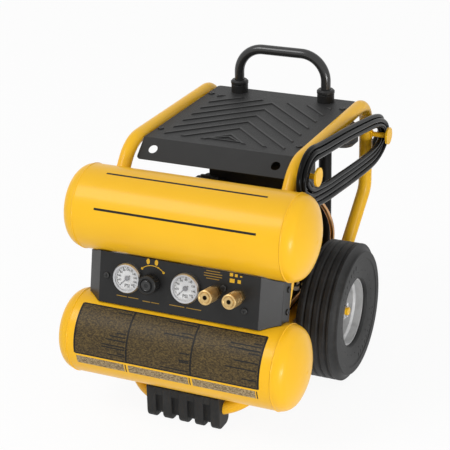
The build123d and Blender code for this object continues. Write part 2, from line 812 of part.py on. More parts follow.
def needle(x):
    """Pointer with a round boss, on a spindle through the dial."""
    low = dial_out + gap
    blade = make_face(Polyline((-1.2, -7), (1.2, -7), (0.4, needle_length), (-0.4, needle_length),
                               close=True))
    shape = Pos(0, 0, low) * extrude(blade, amount=needle_t)
    shape += Pos(0, 0, low) * Cylinder(needle_hub_r, needle_t + 1,
                                       align=(Align.CENTER, Align.CENTER, Align.MIN))
    shape += Pos(0, 0, dial_out - dial_t - 2) * Cylinder(spindle_r, low - dial_out + dial_t + 3,
                                                         align=(Align.CENTER, Align.CENTER, Align.MIN))
    return on_panel(x, gauge_s) * Rot(0, 0, -needle_rest) * shape


def regulator_body():
    """Diaphragm housing on the manifold, its bonnet through the panel and a threaded stem."""
    back = panel_front - manifold_front
    bonnet_r = stem_r + 8
    shape = turned([(0, -back), (bonnet_r, -back), (bonnet_r, 3), (stem_r, 3), (stem_r, knob_length - 6),
                    (0, knob_length - 6)])
    return on_panel(regulator_x, knob_s) * shape


def regulator_knob():
    """Fluted knob with a raised ring on its front."""
    low = 3 + gap
    shape = turned([
        (stem_r + fit, low), (knob_r, low), (knob_r, knob_length - 3), (knob_r - 2, knob_length - 1),
        (knob_r - 5, knob_length - 1), (knob_r - 6, knob_length - 3), (knob_r - 8, knob_length - 3),
        (knob_r - 9, knob_length), (0, knob_length), (0, knob_length - 6 + gap),
        (stem_r + fit, knob_length - 6 + gap)])
    flute = Pos(knob_r + 1.2, 0, low) * Cylinder(2.2, 2 * (knob_length - 5 - low))
    shape -= [Rot(0, 0, 360 / knob_flutes * k) * flute for k in range(knob_flutes)]
    return on_panel(regulator_x, knob_s) * shape


def couplers():
    """Quick couplers: hexagon and barrel with the plug's bore."""
    back = panel_front - manifold_front
    body = Pos(0, 0, -back) * extrude(Circle(coupler_r), amount=back + coupler_out)
    body += extrude(RegularPolygon(hex_flats / 2, 6, major_radius=False), amount=hex_height)
    body -= Pos(0, 0, coupler_out - coupler_bore_length / 2) * Cylinder(coupler_bore_r, coupler_bore_length)
    return Compound([on_panel(x, coupler_s) * body for x in coupler_x])


def coupler_sleeve(x):
    """Knurled sleeve that is drawn back towards the panel to free the hose."""
    low = hex_height + sleeve_travel + gap
    high = low + sleeve_length
    bore = coupler_r + fit
    shape = turned([
        (bore, low), (sleeve_r - 2, low), (sleeve_r - 2, low + 4), (sleeve_r, low + 5), (sleeve_r, low + 11),
        (sleeve_r - 1.5, low + 12), (sleeve_r - 1.5, high - 9), (sleeve_r, high - 8), (sleeve_r, high - 1.5),
        (sleeve_r - 1.5, high), (bore, high)])
    return on_panel(x, coupler_s) * shape


# ---------------------------------------------------------------- switch and valves
def switch_box():
    """Ranges of the pressure switch's housing."""
    front = upper_y + tank_r + switch_off_tank
    wide, deep, tall = switch_size
    return ((switch_x - wide / 2, switch_x + wide / 2), (front, front + deep),
            (upper_tank_z - tall / 2, upper_tank_z + tall / 2))


def pressure_switch():
    x, y, z = switch_box()
    cover = fillet(block(x, y, z).edges(), 5)
    base = block((x[0] + 4, x[1] - 4), (y[0] + 4, y[1] - 4), (z[0] - 5, z[0] + 2))
    nipple = rod(pipe_r, (switch_x, upper_y + tank_r + bung_height, upper_tank_z),
                 (switch_x, y[0] + 8, upper_tank_z))
    boss = Pos(lever_place()) * Cylinder(lever_r + 3, 8)
    return cover + base + nipple + boss - Pos(lever_place()) * Cylinder(lever_r + fit, 12)


def lever_place():
    """Top of the switch's lever boss, on its axis."""
    x, y, z = switch_box()
    return Vector(switch_x + 14, (y[0] + y[1]) / 2, z[1])


def switch_lever():
    spindle = Pos(0, 0, 2) * Cylinder(lever_r, 12)
    arm = block((-lever_length, 0), (-lever_r, lever_r), (4 + gap, 9 + gap))
    cap = Pos(0, 0, 6.5 + gap) * Cylinder(lever_r + 3, 5)
    end = Pos(-lever_length, 0, 6.5 + gap) * Cylinder(lever_r, 5)
    return Pos(lever_place()) * (spindle + arm + cap + end)


def safety_valve():
    """Relief valve on the back of the upper tank, bored for its pull pin."""
    out = Pos(relief_x, upper_y + tank_r, upper_tank_z) * Rot(-90, 0, 0)
    shape = turned([
        (0, bung_height), (pipe_r, bung_height), (pipe_r, bung_height + 4), (relief_r, bung_height + 5),
        (relief_r, relief_length - 8), (relief_r - 3, relief_length - 6), (relief_r - 3, relief_length),
        (0, relief_length)])
    shape += Pos(0, 0, bung_height + 4) * extrude(RegularPolygon(relief_r, 6, major_radius=False), amount=9)
    return out * (shape - Pos(0, 0, relief_length) * Cylinder(ring_pin_r + fit, 30))


def safety_valve_ring():
    """Pull pin with its ring."""
    out = Pos(relief_x, upper_y + tank_r, upper_tank_z) * Rot(-90, 0, 0)
    pin = rod(ring_pin_r, (0, 0, relief_length - 12), (0, 0, relief_length + 4))
    ring = Pos(0, 0, relief_length + 3 + ring_r) * Rot(0, 90, 0) * Torus(ring_r, ring_wire)
    return out * (pin + ring)


def check_valve():
    """Check valve on the back of the lower tank; the discharge pipe enters its end."""
    out = Pos(check_x, lower_y + tank_r, lower_tank_z) * Rot(-90, 0, 0)
    shape = turned([
        (0, bung_height), (pipe_r, bung_height), (pipe_r, bung_height + 3), (check_r - 2, bung_height + 3),
        (check_r - 2, check_length - 9), (check_r, check_length - 9), (check_r, check_length),
        (0, check_length)])
    shape += Pos(0, 0, bung_height + 3) * extrude(RegularPolygon(check_r, 6), amount=10)
    shape += Pos(0, 1 - check_r, check_length - 14) * Rot(90, 0, 0) * Cylinder(signal_r + 2, 10)
    return out * shape


def drain_place():
    """On the drain's port; local +Z leads out of the tank."""
    return Pos(drain_x, lower_y, lower_tank_z) * Rot(-drain_angle, 0, 0)


def drain_middle():
    """Distance of the valve's spindle from the tank's axis."""
    return tank_r + bung_height + drain_length / 2


def drain_valve():
    """Ball drain valve on the lower tank."""
    low, middle = tank_r + bung_height, drain_middle()
    body = pipe(drain_r, drain_r - drain_wall, (0, 0, low), (0, 0, low + drain_length))
    boss = rod(drain_r - 2, (drain_r - 2.5, 0, middle), (drain_r + drain_boss, 0, middle))
    return drain_place() * (body + boss - drain_spindle(drain_spindle_r + fit, 4))


def drain_spindle(radius, length):
    face = drain_r + drain_boss
    return rod(radius, (face - length, 0, drain_middle()), (face + gap, 0, drain_middle()))


def drain_lever():
    face, middle = drain_r + drain_boss + gap, drain_middle()
    arm = block((face, face + 2.5), (-drain_lever_length, 5), (middle - 4, middle + 4))
    arm = fillet(arm.edges().filter_by(Axis.X), 3.5)
    return drain_place() * (drain_spindle(drain_spindle_r, 3.5) + arm)


# ---------------------------------------------------------------- motor and pump
def about_shaft(part):
    """Places a piece turned about Z on the shaft, its +Z becoming +X and local X = 0 the middle."""
    return Pos(0, drive_y, drive_z) * Rot(0, 90, 0) * part


def drive_foot(low, high, reach):
    return block((low, high), (drive_y - reach, drive_y + reach),
                 (platform_top + foot_height, platform_top + foot_height + 6))


def foot_web(low, high, reach):
    return block((low, high), (drive_y - reach, drive_y + reach), (platform_top + foot_height, drive_z))


def motor_housing():
    """Finned stator shell with a vented end bell, standing on a cast foot."""
    core_left = motor_left + bell_length
    shell = Pos(0, 0, (core_left + motor_right) / 2) * Cylinder(motor_r - 3, motor_right - core_left)
    fin = Pos(motor_r - 3, 0, (core_left + motor_right) / 2) * Box(6, 2.4, motor_right - core_left - 8)
    shell += [Rot(0, 0, 360 / fin_count * k) * fin for k in range(fin_count)]
    bell = turned([(0, motor_left), (motor_r - 14, motor_left), (motor_r - 2, motor_left + 10),
                   (motor_r - 2, core_left), (0, core_left)])
    vent = Pos(motor_r / 2 - 2, 0, motor_left) * Box(26, 5, 12)
    bell -= [Rot(0, 0, 30 * k) * vent for k in range(12)]
    shape = about_shaft(shell + bell)
    spots = [x for x, y in isolator_places()]
    web = foot_web(min(spots) - 10, min(spots) + 10, motor_foot - 14)
    shape += web + drive_foot(min(spots) - 14, min(spots) + 14, motor_foot + 10)
    return shape - about_shaft(Pos(0, 0, motor_right) * Cylinder(shaft_r + fit, 2 * shaft_in_motor))


def isolator_places():
    return [(x, drive_y + side * motor_foot) for x in (motor_left + 44, case_right - 22) for side in (-1, 1)]


def isolators():
    """Rubber mounts between the platform and the feet."""
    mount = turned([(0, 0), (foot_r, 0), (foot_r - 2, foot_height / 2), (foot_r, foot_height),
                    (0, foot_height)])
    return Compound([Pos(x, y, platform_top) * mount for x, y in isolator_places()])


def crankcase():
    """Cast crankcase with its feet and the deck that the cylinder stands on."""
    middle = (motor_right + case_right) / 2
    shape = about_shaft(Pos(0, 0, middle) * Cylinder(case_r, case_right - motor_right))
    shape += about_shaft(Pos(0, 0, case_right - 4) * Cylinder(case_r + 5, 8))
    spot = case_right - 22
    shape += foot_web(spot - 10, spot + 10, motor_foot - 10)
    shape += drive_foot(spot - 14, spot + 14, motor_foot + 10)
    deck = block((cylinder_x - deck_half, cylinder_x + deck_half),
                 (drive_y - deck_half, drive_y + deck_half), (drive_z, drive_z + case_r + 6))
    shape += fillet(deck.edges().filter_by(Axis.Z), 6)
    return shape - about_shaft(Pos(0, 0, middle) * Cylinder(shaft_r + fit, 2 * (case_right - motor_right)))


def drive_shaft():
    start, end = motor_right - shaft_in_motor + 1, fan_x + fan_t / 2 + 6
    bar = about_shaft(Pos(0, 0, (start + end) / 2) * Cylinder(shaft_r, end - start))
    return bar


def cooling_fan():
    """Axial fan on the end of the shaft."""
    hub = Pos(0, 0, fan_x) * Cylinder(shaft_r + 9, fan_t)
    blade = Box(fan_r - shaft_r - 6, 26, 2)
    blade = Pos((fan_r + shaft_r + 6) / 2 - 1, 0, fan_x) * Rot(14, 0, 0) * blade
    blade &= Pos(0, 0, fan_x) * Cylinder(fan_r, 4 * fan_t)
    fan = hub + [Rot(0, 0, 360 / fan_blades * k) * blade for k in range(fan_blades)]
    return about_shaft(fan - Pos(0, 0, fan_x) * Cylinder(shaft_r, 4 * fan_t))


def cylinder():
    """Finned cylinder barrel between the crankcase deck and the head."""
    low, high = drive_z + case_r + 6, drive_z + cylinder_top
    shape = Pos(0, 0, (low + high) / 2) * Cylinder(cylinder_r, high - low)
    pitch = (high - low) / cylinder_fins
    for k in range(cylinder_fins):
        shape += Pos(0, 0, low + (k + 0.5) * pitch) * Cylinder(cylinder_fin_r, fin_t)
    return Pos(cylinder_x, drive_y, 0) * shape


def cylinder_head():
    """Square head with cooling fins along its top."""
    low = drive_z + cylinder_top
    half = head_side / 2
    shape = block((-half, half), (-half, half), (low, low + head_height - 14))
    shape = fillet(shape.edges().filter_by(Axis.Z), 8)
    pitch = (head_side - 10) / head_fins
    for k in range(head_fins + 1):
        y = -half + 5 + k * pitch
        shape += block((-half + 6, half - 6), (y - fin_t / 2, y + fin_t / 2),
                       (low + head_height - 15, low + head_height))
    return Pos(cylinder_x, drive_y, 0) * shape


def pump_shroud():
    """Moulded cover over the pump and fan: louvred front and back, grille beside the fan."""
    front, back = drive_y - shroud_front, drive_y + shroud_back
    outer = block((shroud_left, shroud_right), (front, back), (platform_top, shroud_top))
    outer = fillet(outer.edges().filter_by(Axis.X).group_by(Axis.Z)[-1], shroud_corner_r)
    inner = block((shroud_left - 10, shroud_right - shroud_t), (front + shroud_t, back - shroud_t),
                  (platform_top - 10, shroud_top - shroud_t))
    inner = fillet(inner.edges().filter_by(Axis.X).group_by(Axis.Z)[-1], shroud_corner_r - shroud_t)
    shape = outer - inner
    for k in range(louvre_count):
        z = shroud_top - 46 - k * louvre_pitch
        shape -= block((shroud_left + 14, shroud_right - 22), (front - 5, back + 5), (z - louvre_width, z))
    ring = Rot(0, 90, 0) * (Cylinder(fan_r - 2, 40) - Cylinder(fan_r - 2 - grille_gap, 60))
    for radius in grille_rings():
        cut = Cylinder(radius, 40) - Cylinder(radius - grille_gap, 60)
        cut -= Box(grille_bar, 4 * fan_r, 60) + Box(4 * fan_r, grille_bar, 60)
        shape -= Pos(shroud_right, drive_y, drive_z) * Rot(0, 90, 0) * cut
    legs = block((shroud_left - 1, motor_right + 4), (front - 5, back + 5),
                 (platform_top - 1, drive_z - motor_r))
    shape -= legs
    shape -= block((shroud_left - 1, shroud_right - shroud_t - 14), (front - 5, back + 5),
                   (platform_top - 1, platform_top + 40))
    for radius, x, z in (discharge_r, discharge_x, pipe_out_z()), (hose_r, hose_x, hose_out_z()):
        shape -= rod(radius + gap, (x, drive_y, z), (x, back + 20, z))
    return shape


def grille_rings():
    rings, radius = [], fan_r - 2
    while radius - grille_gap > shaft_r + 6:
        rings.append(radius)
        radius -= grille_gap + grille_bar
    return rings


def pipe_out_z():
    """Height at which the discharge pipe leaves the head."""
    return drive_z + cylinder_top + 9


def hose_out_z():
    """Height at which the intake hose leaves the head."""
    return drive_z + cylinder_top + head_height / 2


def discharge_pipe():
    """Copper pipe from the head, looping down behind the shroud to the check valve."""
    end_y = lower_y + tank_r + check_length
    z, x = pipe_out_z(), discharge_pipe_x
    side = drive_y + head_side / 2
    points = [(discharge_x, side, z), (discharge_x, side + 40, z), (x, side + 52, z - 44),
              (x, side + 102, z - 100),
              (x, side + 110, z - 135), (x, side + 84, platform_top + 20), (x, end_y + 40, platform_top + 20),
              (check_x, end_y + 22, lower_tank_z), (check_x, end_y, lower_tank_z)]
    return bent_tube(points, [14, 20, 30, 18, 26, 20, 12], discharge_r, 1)


def unloader_pipe():
    """Thin line from the switch to the check valve, which vents the head when the pump stops."""
    x, y, z = switch_box()
    start = Vector(switch_x - 16, y[1], z[1] - 14)
    valve_y = lower_y + tank_r + check_length - 14
    points = [start, start + Vector(0, 20, 0), start + Vector(-6, 36, 4), start + Vector(-32, 30, -12),
              start + Vector(-60, 10, -60), start + Vector(-52, -20, -160),
              (check_x - 55, valve_y + 14, lower_tank_z + check_r + 44),
              (check_x, valve_y, lower_tank_z + check_r + 34),
              (check_x, valve_y, lower_tank_z + check_r + 4)]
    return bent_tube(points, [6, 8, 10, 20, 24, 24, 12], signal_r, 1)


def intake_filter():
    """Filter canister behind the shroud with its hose to the head."""
    top = filter_low + filter_height
    can = turned([
        (0, filter_low), (filter_r - filter_edge, filter_low), (filter_r, filter_low + filter_edge),
        (filter_r, top - filter_edge), (filter_r - filter_edge, top), (0, top)])
    can = Pos(filter_x, filter_y, 0) * can
    side, z = drive_y + head_side / 2, hose_out_z()
    points = [(hose_x, side, z), (hose_x, side + 46, z), (hose_x + 10, filter_y - 20, filter_low + 20),
              (filter_x - filter_r + 4, filter_y, filter_low + 22)]
    return can + run_along(FilletPolyline(*points, radius=[18, 14]), hose_r)


# ---------------------------------------------------------------- cord
COIL_ROUTE = [(-54, 484), (3, 477), (87, 467), (176, 454), (238, 444), (281, 431), (303, 411), (300, 391),
              (279, 379), (243, 373), (190, 376), (120, 382), (52, 389), (-2, 394), (-46, 401), (-84, 417),
              (-112, 437), (-126, 459), (-115, 481), (-88, 489)]
LEAD_ROUTE = [(36, -61, 354), (58, -61, 354), (88, -66, 360), (118, -75, 377), (146, -80, 400),
              (186, -66, 407)]
TAIL_ROUTE = [(189, 280, 431), (186, 303, 421), (178, 317, 408), (173, 319.5, 391)]


def cord_peg(y, z, tube):
    """Round peg with a disc, welded to the outside of the right side tube."""
    shank = rod(peg_r, (frame_half, y, z), (disc_x, y, z))
    peg = shank + rod(peg_disc_r, (disc_x - peg_disc_t, y, z), (disc_x, y, z))
    return (peg - tube).solids().sort_by(lambda solid: solid.volume)[-1]


def hang_point(y, z):
    """A point of the hanging coil; the coil leans out towards the rear peg."""
    along = (y - front_peg_y) / (rear_leg_y - front_peg_y)
    return Vector(coil_front_x + (coil_rear_x - coil_front_x) * along, y, z)


def arc_radii(points, closed=False):
    """For each corner, the largest arc that 0.45 of the shorter run allows."""
    count = len(points)
    corners = range(count) if closed else range(1, count - 1)
    radii = []
    for k in corners:
        before, after = points[k] - points[k - 1], points[(k + 1) % count] - points[k]
        turn = radians(before.get_angle(after))
        radii.append(0.45 * min(before.length, after.length) / tan(turn / 2))
    return radii


def cord_tube(name, points, radius):
    points = [Vector(*point) for point in points]
    radii = arc_radii(points)
    print(name, "radii", [round(r) for r in radii])
    return run_along(FilletPolyline(*points, radius=radii), radius)


def cord_coil():
    """Outer shape of the turns that hang over the pegs, with the tail down to the plug."""
    points = [hang_point(y, z) for y, z in COIL_ROUTE]
    radii = arc_radii(points, closed=True)
    print("cord_coil radii", [round(r) for r in radii])
    path = FilletPolyline(*points, radius=radii, close=True)
    section = Plane(origin=path @ 0, z_dir=path % 0, x_dir=(1, 0, 0)) * Ellipse(coil_half_x, coil_half_r)
    return sweep(section, path=path) + cord_tube("tail", TAIL_ROUTE, cord_r)


def cord_gland():
    """Gland in the side of the pressure switch."""
    x, y, z = LEAD_ROUTE[0]
    side = switch_box()[0][1]
    shape = turned([(cord_r, 0), (10, 0), (10, 4), (8, 5), (8, 12), (6, x - side), (cord_r, x - side)])
    return Pos(side, y, z) * Rot(0, 90, 0) * shape


def cord_plug():
    """Moulded plug hanging under its boot, in line with the end of the tail."""
    before, end = Vector(*TAIL_ROUTE[-2]), Vector(*TAIL_ROUTE[-1])
    grow = Align.CENTER, Align.CENTER, Align.MIN
    boot = Cone(cord_r + 1, cord_r + 4, plug_boot, align=grow)
    body = Pos(0, 0, plug_boot) * Cylinder(plug_r, plug_length, align=grow)
    body = chamfer(body.edges().filter_by(GeomType.CIRCLE), 3)
    return Plane(origin=end, z_dir=end - before) * (boot + body)


# ---------------------------------------------------------------- build
os.makedirs("parts", exist_ok=True)
right_tube = side_tube()
side_envelope = run_along(side_path(), tube_r)
left_envelope = mirrored(side_envelope)
left_gauge, right_gauge = gauge_x
left_coupler, right_coupler = coupler_x
right_rim, right_tyre, right_post = rim(), tyre(), post()

nodes = {
    "upper_tank": upper_tank(),
    "lower_tank": lower_tank(),
    "equaliser_pipe": equaliser_pipe(),
    "tank_brackets": tank_brackets(),
    "control_panel": control_panel(),
    "panel_screws": panel_screws(),
    "plate_screws": plate_screws(),
    "gauge_cases": gauge_cases(),
    "gauge_dials": gauge_dials(),
    "gauge_lenses": gauge_lenses(),
    "tank_gauge_needle": needle(left_gauge),
    "outlet_gauge_needle": needle(right_gauge),
    "regulator_body": regulator_body(),
    "regulator_knob": regulator_knob(),
    "manifold": manifold(),
    "couplers": couplers(),
    "left_coupler_sleeve": coupler_sleeve(left_coupler),
    "right_coupler_sleeve": coupler_sleeve(right_coupler),
    "pressure_switch": pressure_switch(),
    "switch_lever": switch_lever(),
    "safety_valve": safety_valve(),
    "safety_valve_ring": safety_valve_ring(),
    "check_valve": check_valve(),
    "discharge_pipe": discharge_pipe(),
    "unloader_pipe": unloader_pipe(),
    "drain_valve": drain_valve(),
    "drain_lever": drain_lever(),
    "right_side_tube": right_tube,
    "left_side_tube": mirrored(right_tube),
    "front_hoop": front_hoop(),
    "rear_crossbar": rear_crossbar(side_envelope + left_envelope),
    "platform": platform(),
    "axle_brackets": axle_brackets(),
    "top_plate": top_plate(),
    "rubber_foot": rubber_foot(),
    "front_cord_peg": cord_peg(front_peg_y, front_peg_z, side_envelope),
    "rear_cord_peg": cord_peg(rear_leg_y, rear_peg_z, side_envelope),
    "right_post": right_post,
    "left_post": mirrored(right_post),
    "post_collars": post_collars(),
    "handle": handle(),
    "axle": axle(),
    "right_rim": right_rim,
    "left_rim": mirrored(right_rim),
    "right_tyre": right_tyre,
    "left_tyre": mirrored(right_tyre),
    "axle_hardware": axle_hardware(),
    "motor_housing": motor_housing(),
    "isolators": isolators(),
    "drive_shaft": drive_shaft(),
    "cooling_fan": cooling_fan(),
    "crankcase": crankcase(),
    "cylinder": cylinder(),
    "cylinder_head": cylinder_head(),
    "pump_shroud": pump_shroud(),
    "intake_filter": intake_filter(),
    "cord_gland": cord_gland(),
    "cord_lead": cord_tube("cord_lead", LEAD_ROUTE, cord_r),
    "cord_coil": cord_coil(),
    "cord_plug": cord_plug(),
}
nodes["cord_lead"] -= nodes["cord_coil"]
for name, shape in nodes.items():
    export_step(shape, f"parts/{name}.step")
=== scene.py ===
"""Looks of a wheeled twin-tank air compressor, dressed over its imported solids, in metres."""
import json
import random
from math import copysign, cos, pi, radians, sin

import bpy
from mathutils import Matrix, Vector


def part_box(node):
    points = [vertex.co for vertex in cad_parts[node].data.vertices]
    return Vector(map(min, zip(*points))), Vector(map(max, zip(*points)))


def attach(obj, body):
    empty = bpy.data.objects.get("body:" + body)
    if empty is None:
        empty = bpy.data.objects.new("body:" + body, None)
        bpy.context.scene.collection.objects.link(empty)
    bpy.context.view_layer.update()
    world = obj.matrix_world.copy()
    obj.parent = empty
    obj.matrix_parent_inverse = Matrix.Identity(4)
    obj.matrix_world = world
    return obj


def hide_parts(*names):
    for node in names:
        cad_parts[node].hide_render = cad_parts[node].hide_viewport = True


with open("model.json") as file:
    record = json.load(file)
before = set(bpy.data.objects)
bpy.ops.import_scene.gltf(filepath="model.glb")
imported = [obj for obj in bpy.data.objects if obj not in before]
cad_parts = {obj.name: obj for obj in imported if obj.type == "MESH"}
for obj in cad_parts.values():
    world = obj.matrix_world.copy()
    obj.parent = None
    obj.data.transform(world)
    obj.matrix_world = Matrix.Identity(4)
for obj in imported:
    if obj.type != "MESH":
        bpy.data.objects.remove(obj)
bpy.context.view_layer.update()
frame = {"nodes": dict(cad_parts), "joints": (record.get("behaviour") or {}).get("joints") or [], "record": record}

CHASSIS = "chassis"


# ---------------------------------------------------------------- places from the frame
def middle(node):
    low, high = (Vector(corner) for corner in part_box(node))
    return (low + high) / 2


def mount(name):
    return next(m for m in frame["record"]["mounts"] if m["name"] == name)


def joint(name):
    return next(j for j in frame["joints"] if j["name"] == name)


def in_metres(points):
    """Points in metres from points in millimetres."""
    return [Vector(point) / 1000 for point in points]


def link(name, data):
    """Puts a mesh, curve, lamp or camera into the scene as an object."""
    made = bpy.data.objects.new(name, data)
    bpy.context.collection.objects.link(made)
    return made


# ---------------------------------------------------------------- camera and light
CAMERA_LENS = 116.73
CAMERA_SENSOR = 36
CAMERA_AZIMUTH = radians(24.78)
CAMERA_ELEVATION = radians(23.03)
CAMERA_ROLL = radians(-1.25)
CAMERA_DISTANCE = 2.7612
CAMERA_TARGET = Vector((-0.0363, 0.0438, 0.2734))


def place_camera():
    level = Vector((cos(CAMERA_AZIMUTH), sin(CAMERA_AZIMUTH), 0))
    flat = cos(CAMERA_ELEVATION)
    back = Vector((sin(CAMERA_AZIMUTH) * flat, -cos(CAMERA_AZIMUTH) * flat, sin(CAMERA_ELEVATION)))
    right = cos(CAMERA_ROLL) * level + sin(CAMERA_ROLL) * back.cross(level)
    turn = Matrix((right, back.cross(right), back)).transposed().to_4x4()
    data = bpy.data.cameras.new("camera")
    data.lens = CAMERA_LENS
    data.sensor_width = CAMERA_SENSOR
    camera = link("camera", data)
    camera.matrix_world = Matrix.Translation(CAMERA_TARGET + back * CAMERA_DISTANCE) @ turn
    bpy.context.scene.camera = camera


def soft_light(name, place, target, size, power):
    data = bpy.data.lights.new(name, "AREA")
    data.shape = "RECTANGLE"
    data.size, data.size_y = size
    data.energy = power
    lamp = link(name, data)
    lamp.location = place
    lamp.rotation_euler = (Vector(target) - Vector(place)).to_track_quat("-Z", "Y").to_euler()


# ---------------------------------------------------------------- shader expressions
class Value:
    """A shader value. Arithmetic on it adds Math nodes to its graph."""

    def __init__(self, graph, socket):
        self.graph = graph
        self.socket = socket

    def _math(self, operation, first, second):
        return self.graph.node("ShaderNodeMath", {"operation": operation}, {0: first, 1: second})["Value"]

    def __add__(self, other):
        return self._math("ADD", self, other)

    def __radd__(self, other):
        return self._math("ADD", other, self)

    def __mul__(self, other):
        return self._math("MULTIPLY", self, other)

    def __rmul__(self, other):
        return self._math("MULTIPLY", other, self)

    def between(self, low, high):
        """0 below low, 1 above high, and a smooth rise between them."""
        made = self.graph.node("ShaderNodeMapRange", {"interpolation_type": "SMOOTHSTEP"},
                               {"Value": self, "From Min": low, "From Max": high})
        return made["Result"]


class Outputs:
    """A node's outputs by name or number, as values."""

    def __init__(self, graph, node):
        self.graph = graph
        self.node = node

    def __getitem__(self, name):
        return Value(self.graph, self.node.outputs[name])


class Graph:
    """A node tree that is filled through expressions."""

    def __init__(self, tree):
        self.tree = tree

    def feed(self, socket, value):
        if isinstance(value, Value):
            self.tree.links.new(value.socket, socket)
        else:
            socket.default_value = value

    def node(self, kind, settings=None, values=None):
        """A node of a kind: its settings first, then the values or links of its sockets by name or number."""
        made = self.tree.nodes.new(kind)
        for name, setting in (settings or {}).items():
            setattr(made, name, setting)
        for name, value in (values or {}).items():
            self.feed(made.inputs[name], value)
        return Outputs(self, made)

    def seen(self):
        """1 where the camera, a shine or a clear piece looks at the surface."""
        ray = self.node("ShaderNodeLightPath")
        return ray["Is Camera Ray"] + ray["Is Glossy Ray"] + ray["Is Transmission Ray"]

    def blend(self, factor, first, second):
        """One shader between two shaders."""
        return self.node("ShaderNodeMixShader", values={0: factor, 1: first, 2: second})["Shader"]


class Shader(Graph):
    """A Principled material built from expressions."""

    # The Mix node has sockets of the same name for numbers and for colours; these are the colours'.
    MIX_FIRST, MIX_SECOND, MIX_RESULT = 6, 7, 2

    def __init__(self, name, **settings):
        self.material = bpy.data.materials.new(name)
        self.material.use_nodes = True
        super().__init__(self.material.node_tree)
        self.surface = self.tree.nodes["Principled BSDF"]
        self.set(**settings)

    def set(self, **values):
        for name, value in values.items():
            if isinstance(value, tuple) and len(value) == 3:
                value = (*value, 1)
            self.feed(self.surface.inputs[name.replace("_", " ")], value)

    def place(self):
        """Position in the piece's own coordinates, in metres."""
        return self.node("ShaderNodeTexCoord")["Object"]

    def height(self):
        return self.node("ShaderNodeSeparateXYZ", values={"Vector": self.place()})["Z"]

    def stretched(self, scale):
        """The place with each axis scaled, for a grain that runs one way."""
        return self.node("ShaderNodeMapping", values={"Vector": self.place(), "Scale": scale})["Vector"]

    def noise(self, scale, detail=3.0, rough=0.5, vector=None):
        """Noise whose features repeat about scale times in a metre."""
        values = {"Vector": vector or self.place(), "Scale": scale, "Detail": detail, "Roughness": rough}
        return self.node("ShaderNodeTexNoise", values=values)["Fac"]

    def mix(self, factor, first, second):
        """A colour between two colours."""
        first, second = ((*c, 1) if isinstance(c, tuple) else c for c in (first, second))
        values = {"Factor": factor, self.MIX_FIRST: first, self.MIX_SECOND: second}
        return self.node("ShaderNodeMix", {"data_type": "RGBA"}, values)[self.MIX_RESULT]

    def bump(self, height, distance, strength=1.0, edge=0.0):
        """Relief from a height; edge is the radius by which sharp edges look rounded."""
        values = {"Height": height, "Distance": distance, "Strength": strength}
        if edge:
            values["Normal"] = self.node("ShaderNodeBevel", {"samples": 4}, {"Radius": edge})["Normal"]
        self.set(Normal=self.node("ShaderNodeBump", values=values)["Normal"])


# ---------------------------------------------------------------- finishes
def grey(tone):
    return tone, tone, tone


def darker(color, share):
    return tuple(share * c for c in color)


def enamel(name, edge):
    """Glossy yellow enamel with orange peel and faint dust."""
    paint = Shader(name, Specular_IOR_Level=0.22, Coat_Weight=0.1, Coat_Roughness=0.1)
    cloud = paint.noise(9, 2)
    dust = paint.noise(60, 5, 0.7).between(0.55, 0.8)
    tone = paint.mix(cloud, (0.87, 0.46, 0.010), (0.93, 0.53, 0.018))
    tone = paint.mix(dust * 0.10, tone, (0.80, 0.50, 0.12))
    paint.set(Base_Color=tone, Roughness=0.30 + 0.10 * cloud + 0.1 * dust)
    paint.bump(paint.noise(420, 2), 0.00012, 0.5, edge)
    return paint.material


def satin_black(name, tone, rough, grain, depth, shine=0.2, edge=0.001, dusty=0.10):
    """Black powder coat or moulding with a fine grain and faint dust."""
    coat = Shader(name, Specular_IOR_Level=shine)
    cloud = coat.noise(25, 3)
    dust = coat.noise(140, 4, 0.7).between(0.58, 0.85)
    shade = coat.mix(cloud, grey(0.8 * tone), grey(1.2 * tone))
    coat.set(Base_Color=coat.mix(dust * dusty, shade, grey(0.12)), Roughness=rough + 0.1 * cloud)
    coat.bump(coat.noise(grain, 3, 0.6), depth, edge=edge)
    return coat.material


RIB_RISE = 0.0022        # of the top plate's ribs over its deck
# Where the painted highlight on the ribs' crests and the painted shade down their flanks start to show, and where
# they are full.
PAINTED_HIGHLIGHT_BELOW_CREST = (0.0007, 0.0004)
PAINTED_FLANK_SHADE_OVER_DECK = (0.00005, 0.0003)


def plate_coat():
    """Textured coat of the top plate, with a painted highlight on the ribs' crests and painted shade down their
    flanks.
    """
    coat = Shader("textured_black", Specular_IOR_Level=0.16)
    cloud = coat.noise(25, 3)
    height = coat.height()
    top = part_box("top_plate")[1][2]
    # The crest mask carries a painted highlight on the ribs' tops, and the flank mask carries painted shade down
    # their sides.
    crest = height.between(*(top - below for below in PAINTED_HIGHLIGHT_BELOW_CREST))
    painted_flank_shade = height.between(*(top - RIB_RISE + over for over in PAINTED_FLANK_SHADE_OVER_DECK))
    shade = coat.mix(cloud, grey(0.026), grey(0.038))
    # Painted shade down the flanks, then a painted highlight on the crests.
    shade = coat.mix(painted_flank_shade * 0.8, shade, grey(0.006))
    coat.set(Base_Color=coat.mix(crest * 0.9, shade, grey(0.068)), Roughness=0.45 + 0.1 * cloud)
    coat.bump(coat.noise(1100, 3, 0.6), 0.0004, edge=0.0005)
    return coat.material


def rubber(name, tone, rough):
    """Moulded rubber with a faint grey bloom."""
    compound = Shader(name, Specular_IOR_Level=0.25)
    bloom = compound.noise(35, 5, 0.7)
    shade = compound.mix(bloom.between(0.4, 0.75) * 0.6, grey(tone), grey(2.2 * tone))
    compound.set(Base_Color=shade, Roughness=rough + 0.12 * bloom)
    compound.bump(compound.noise(700, 3, 0.6), 0.0002, 0.6, 0.0012)
    return compound.material


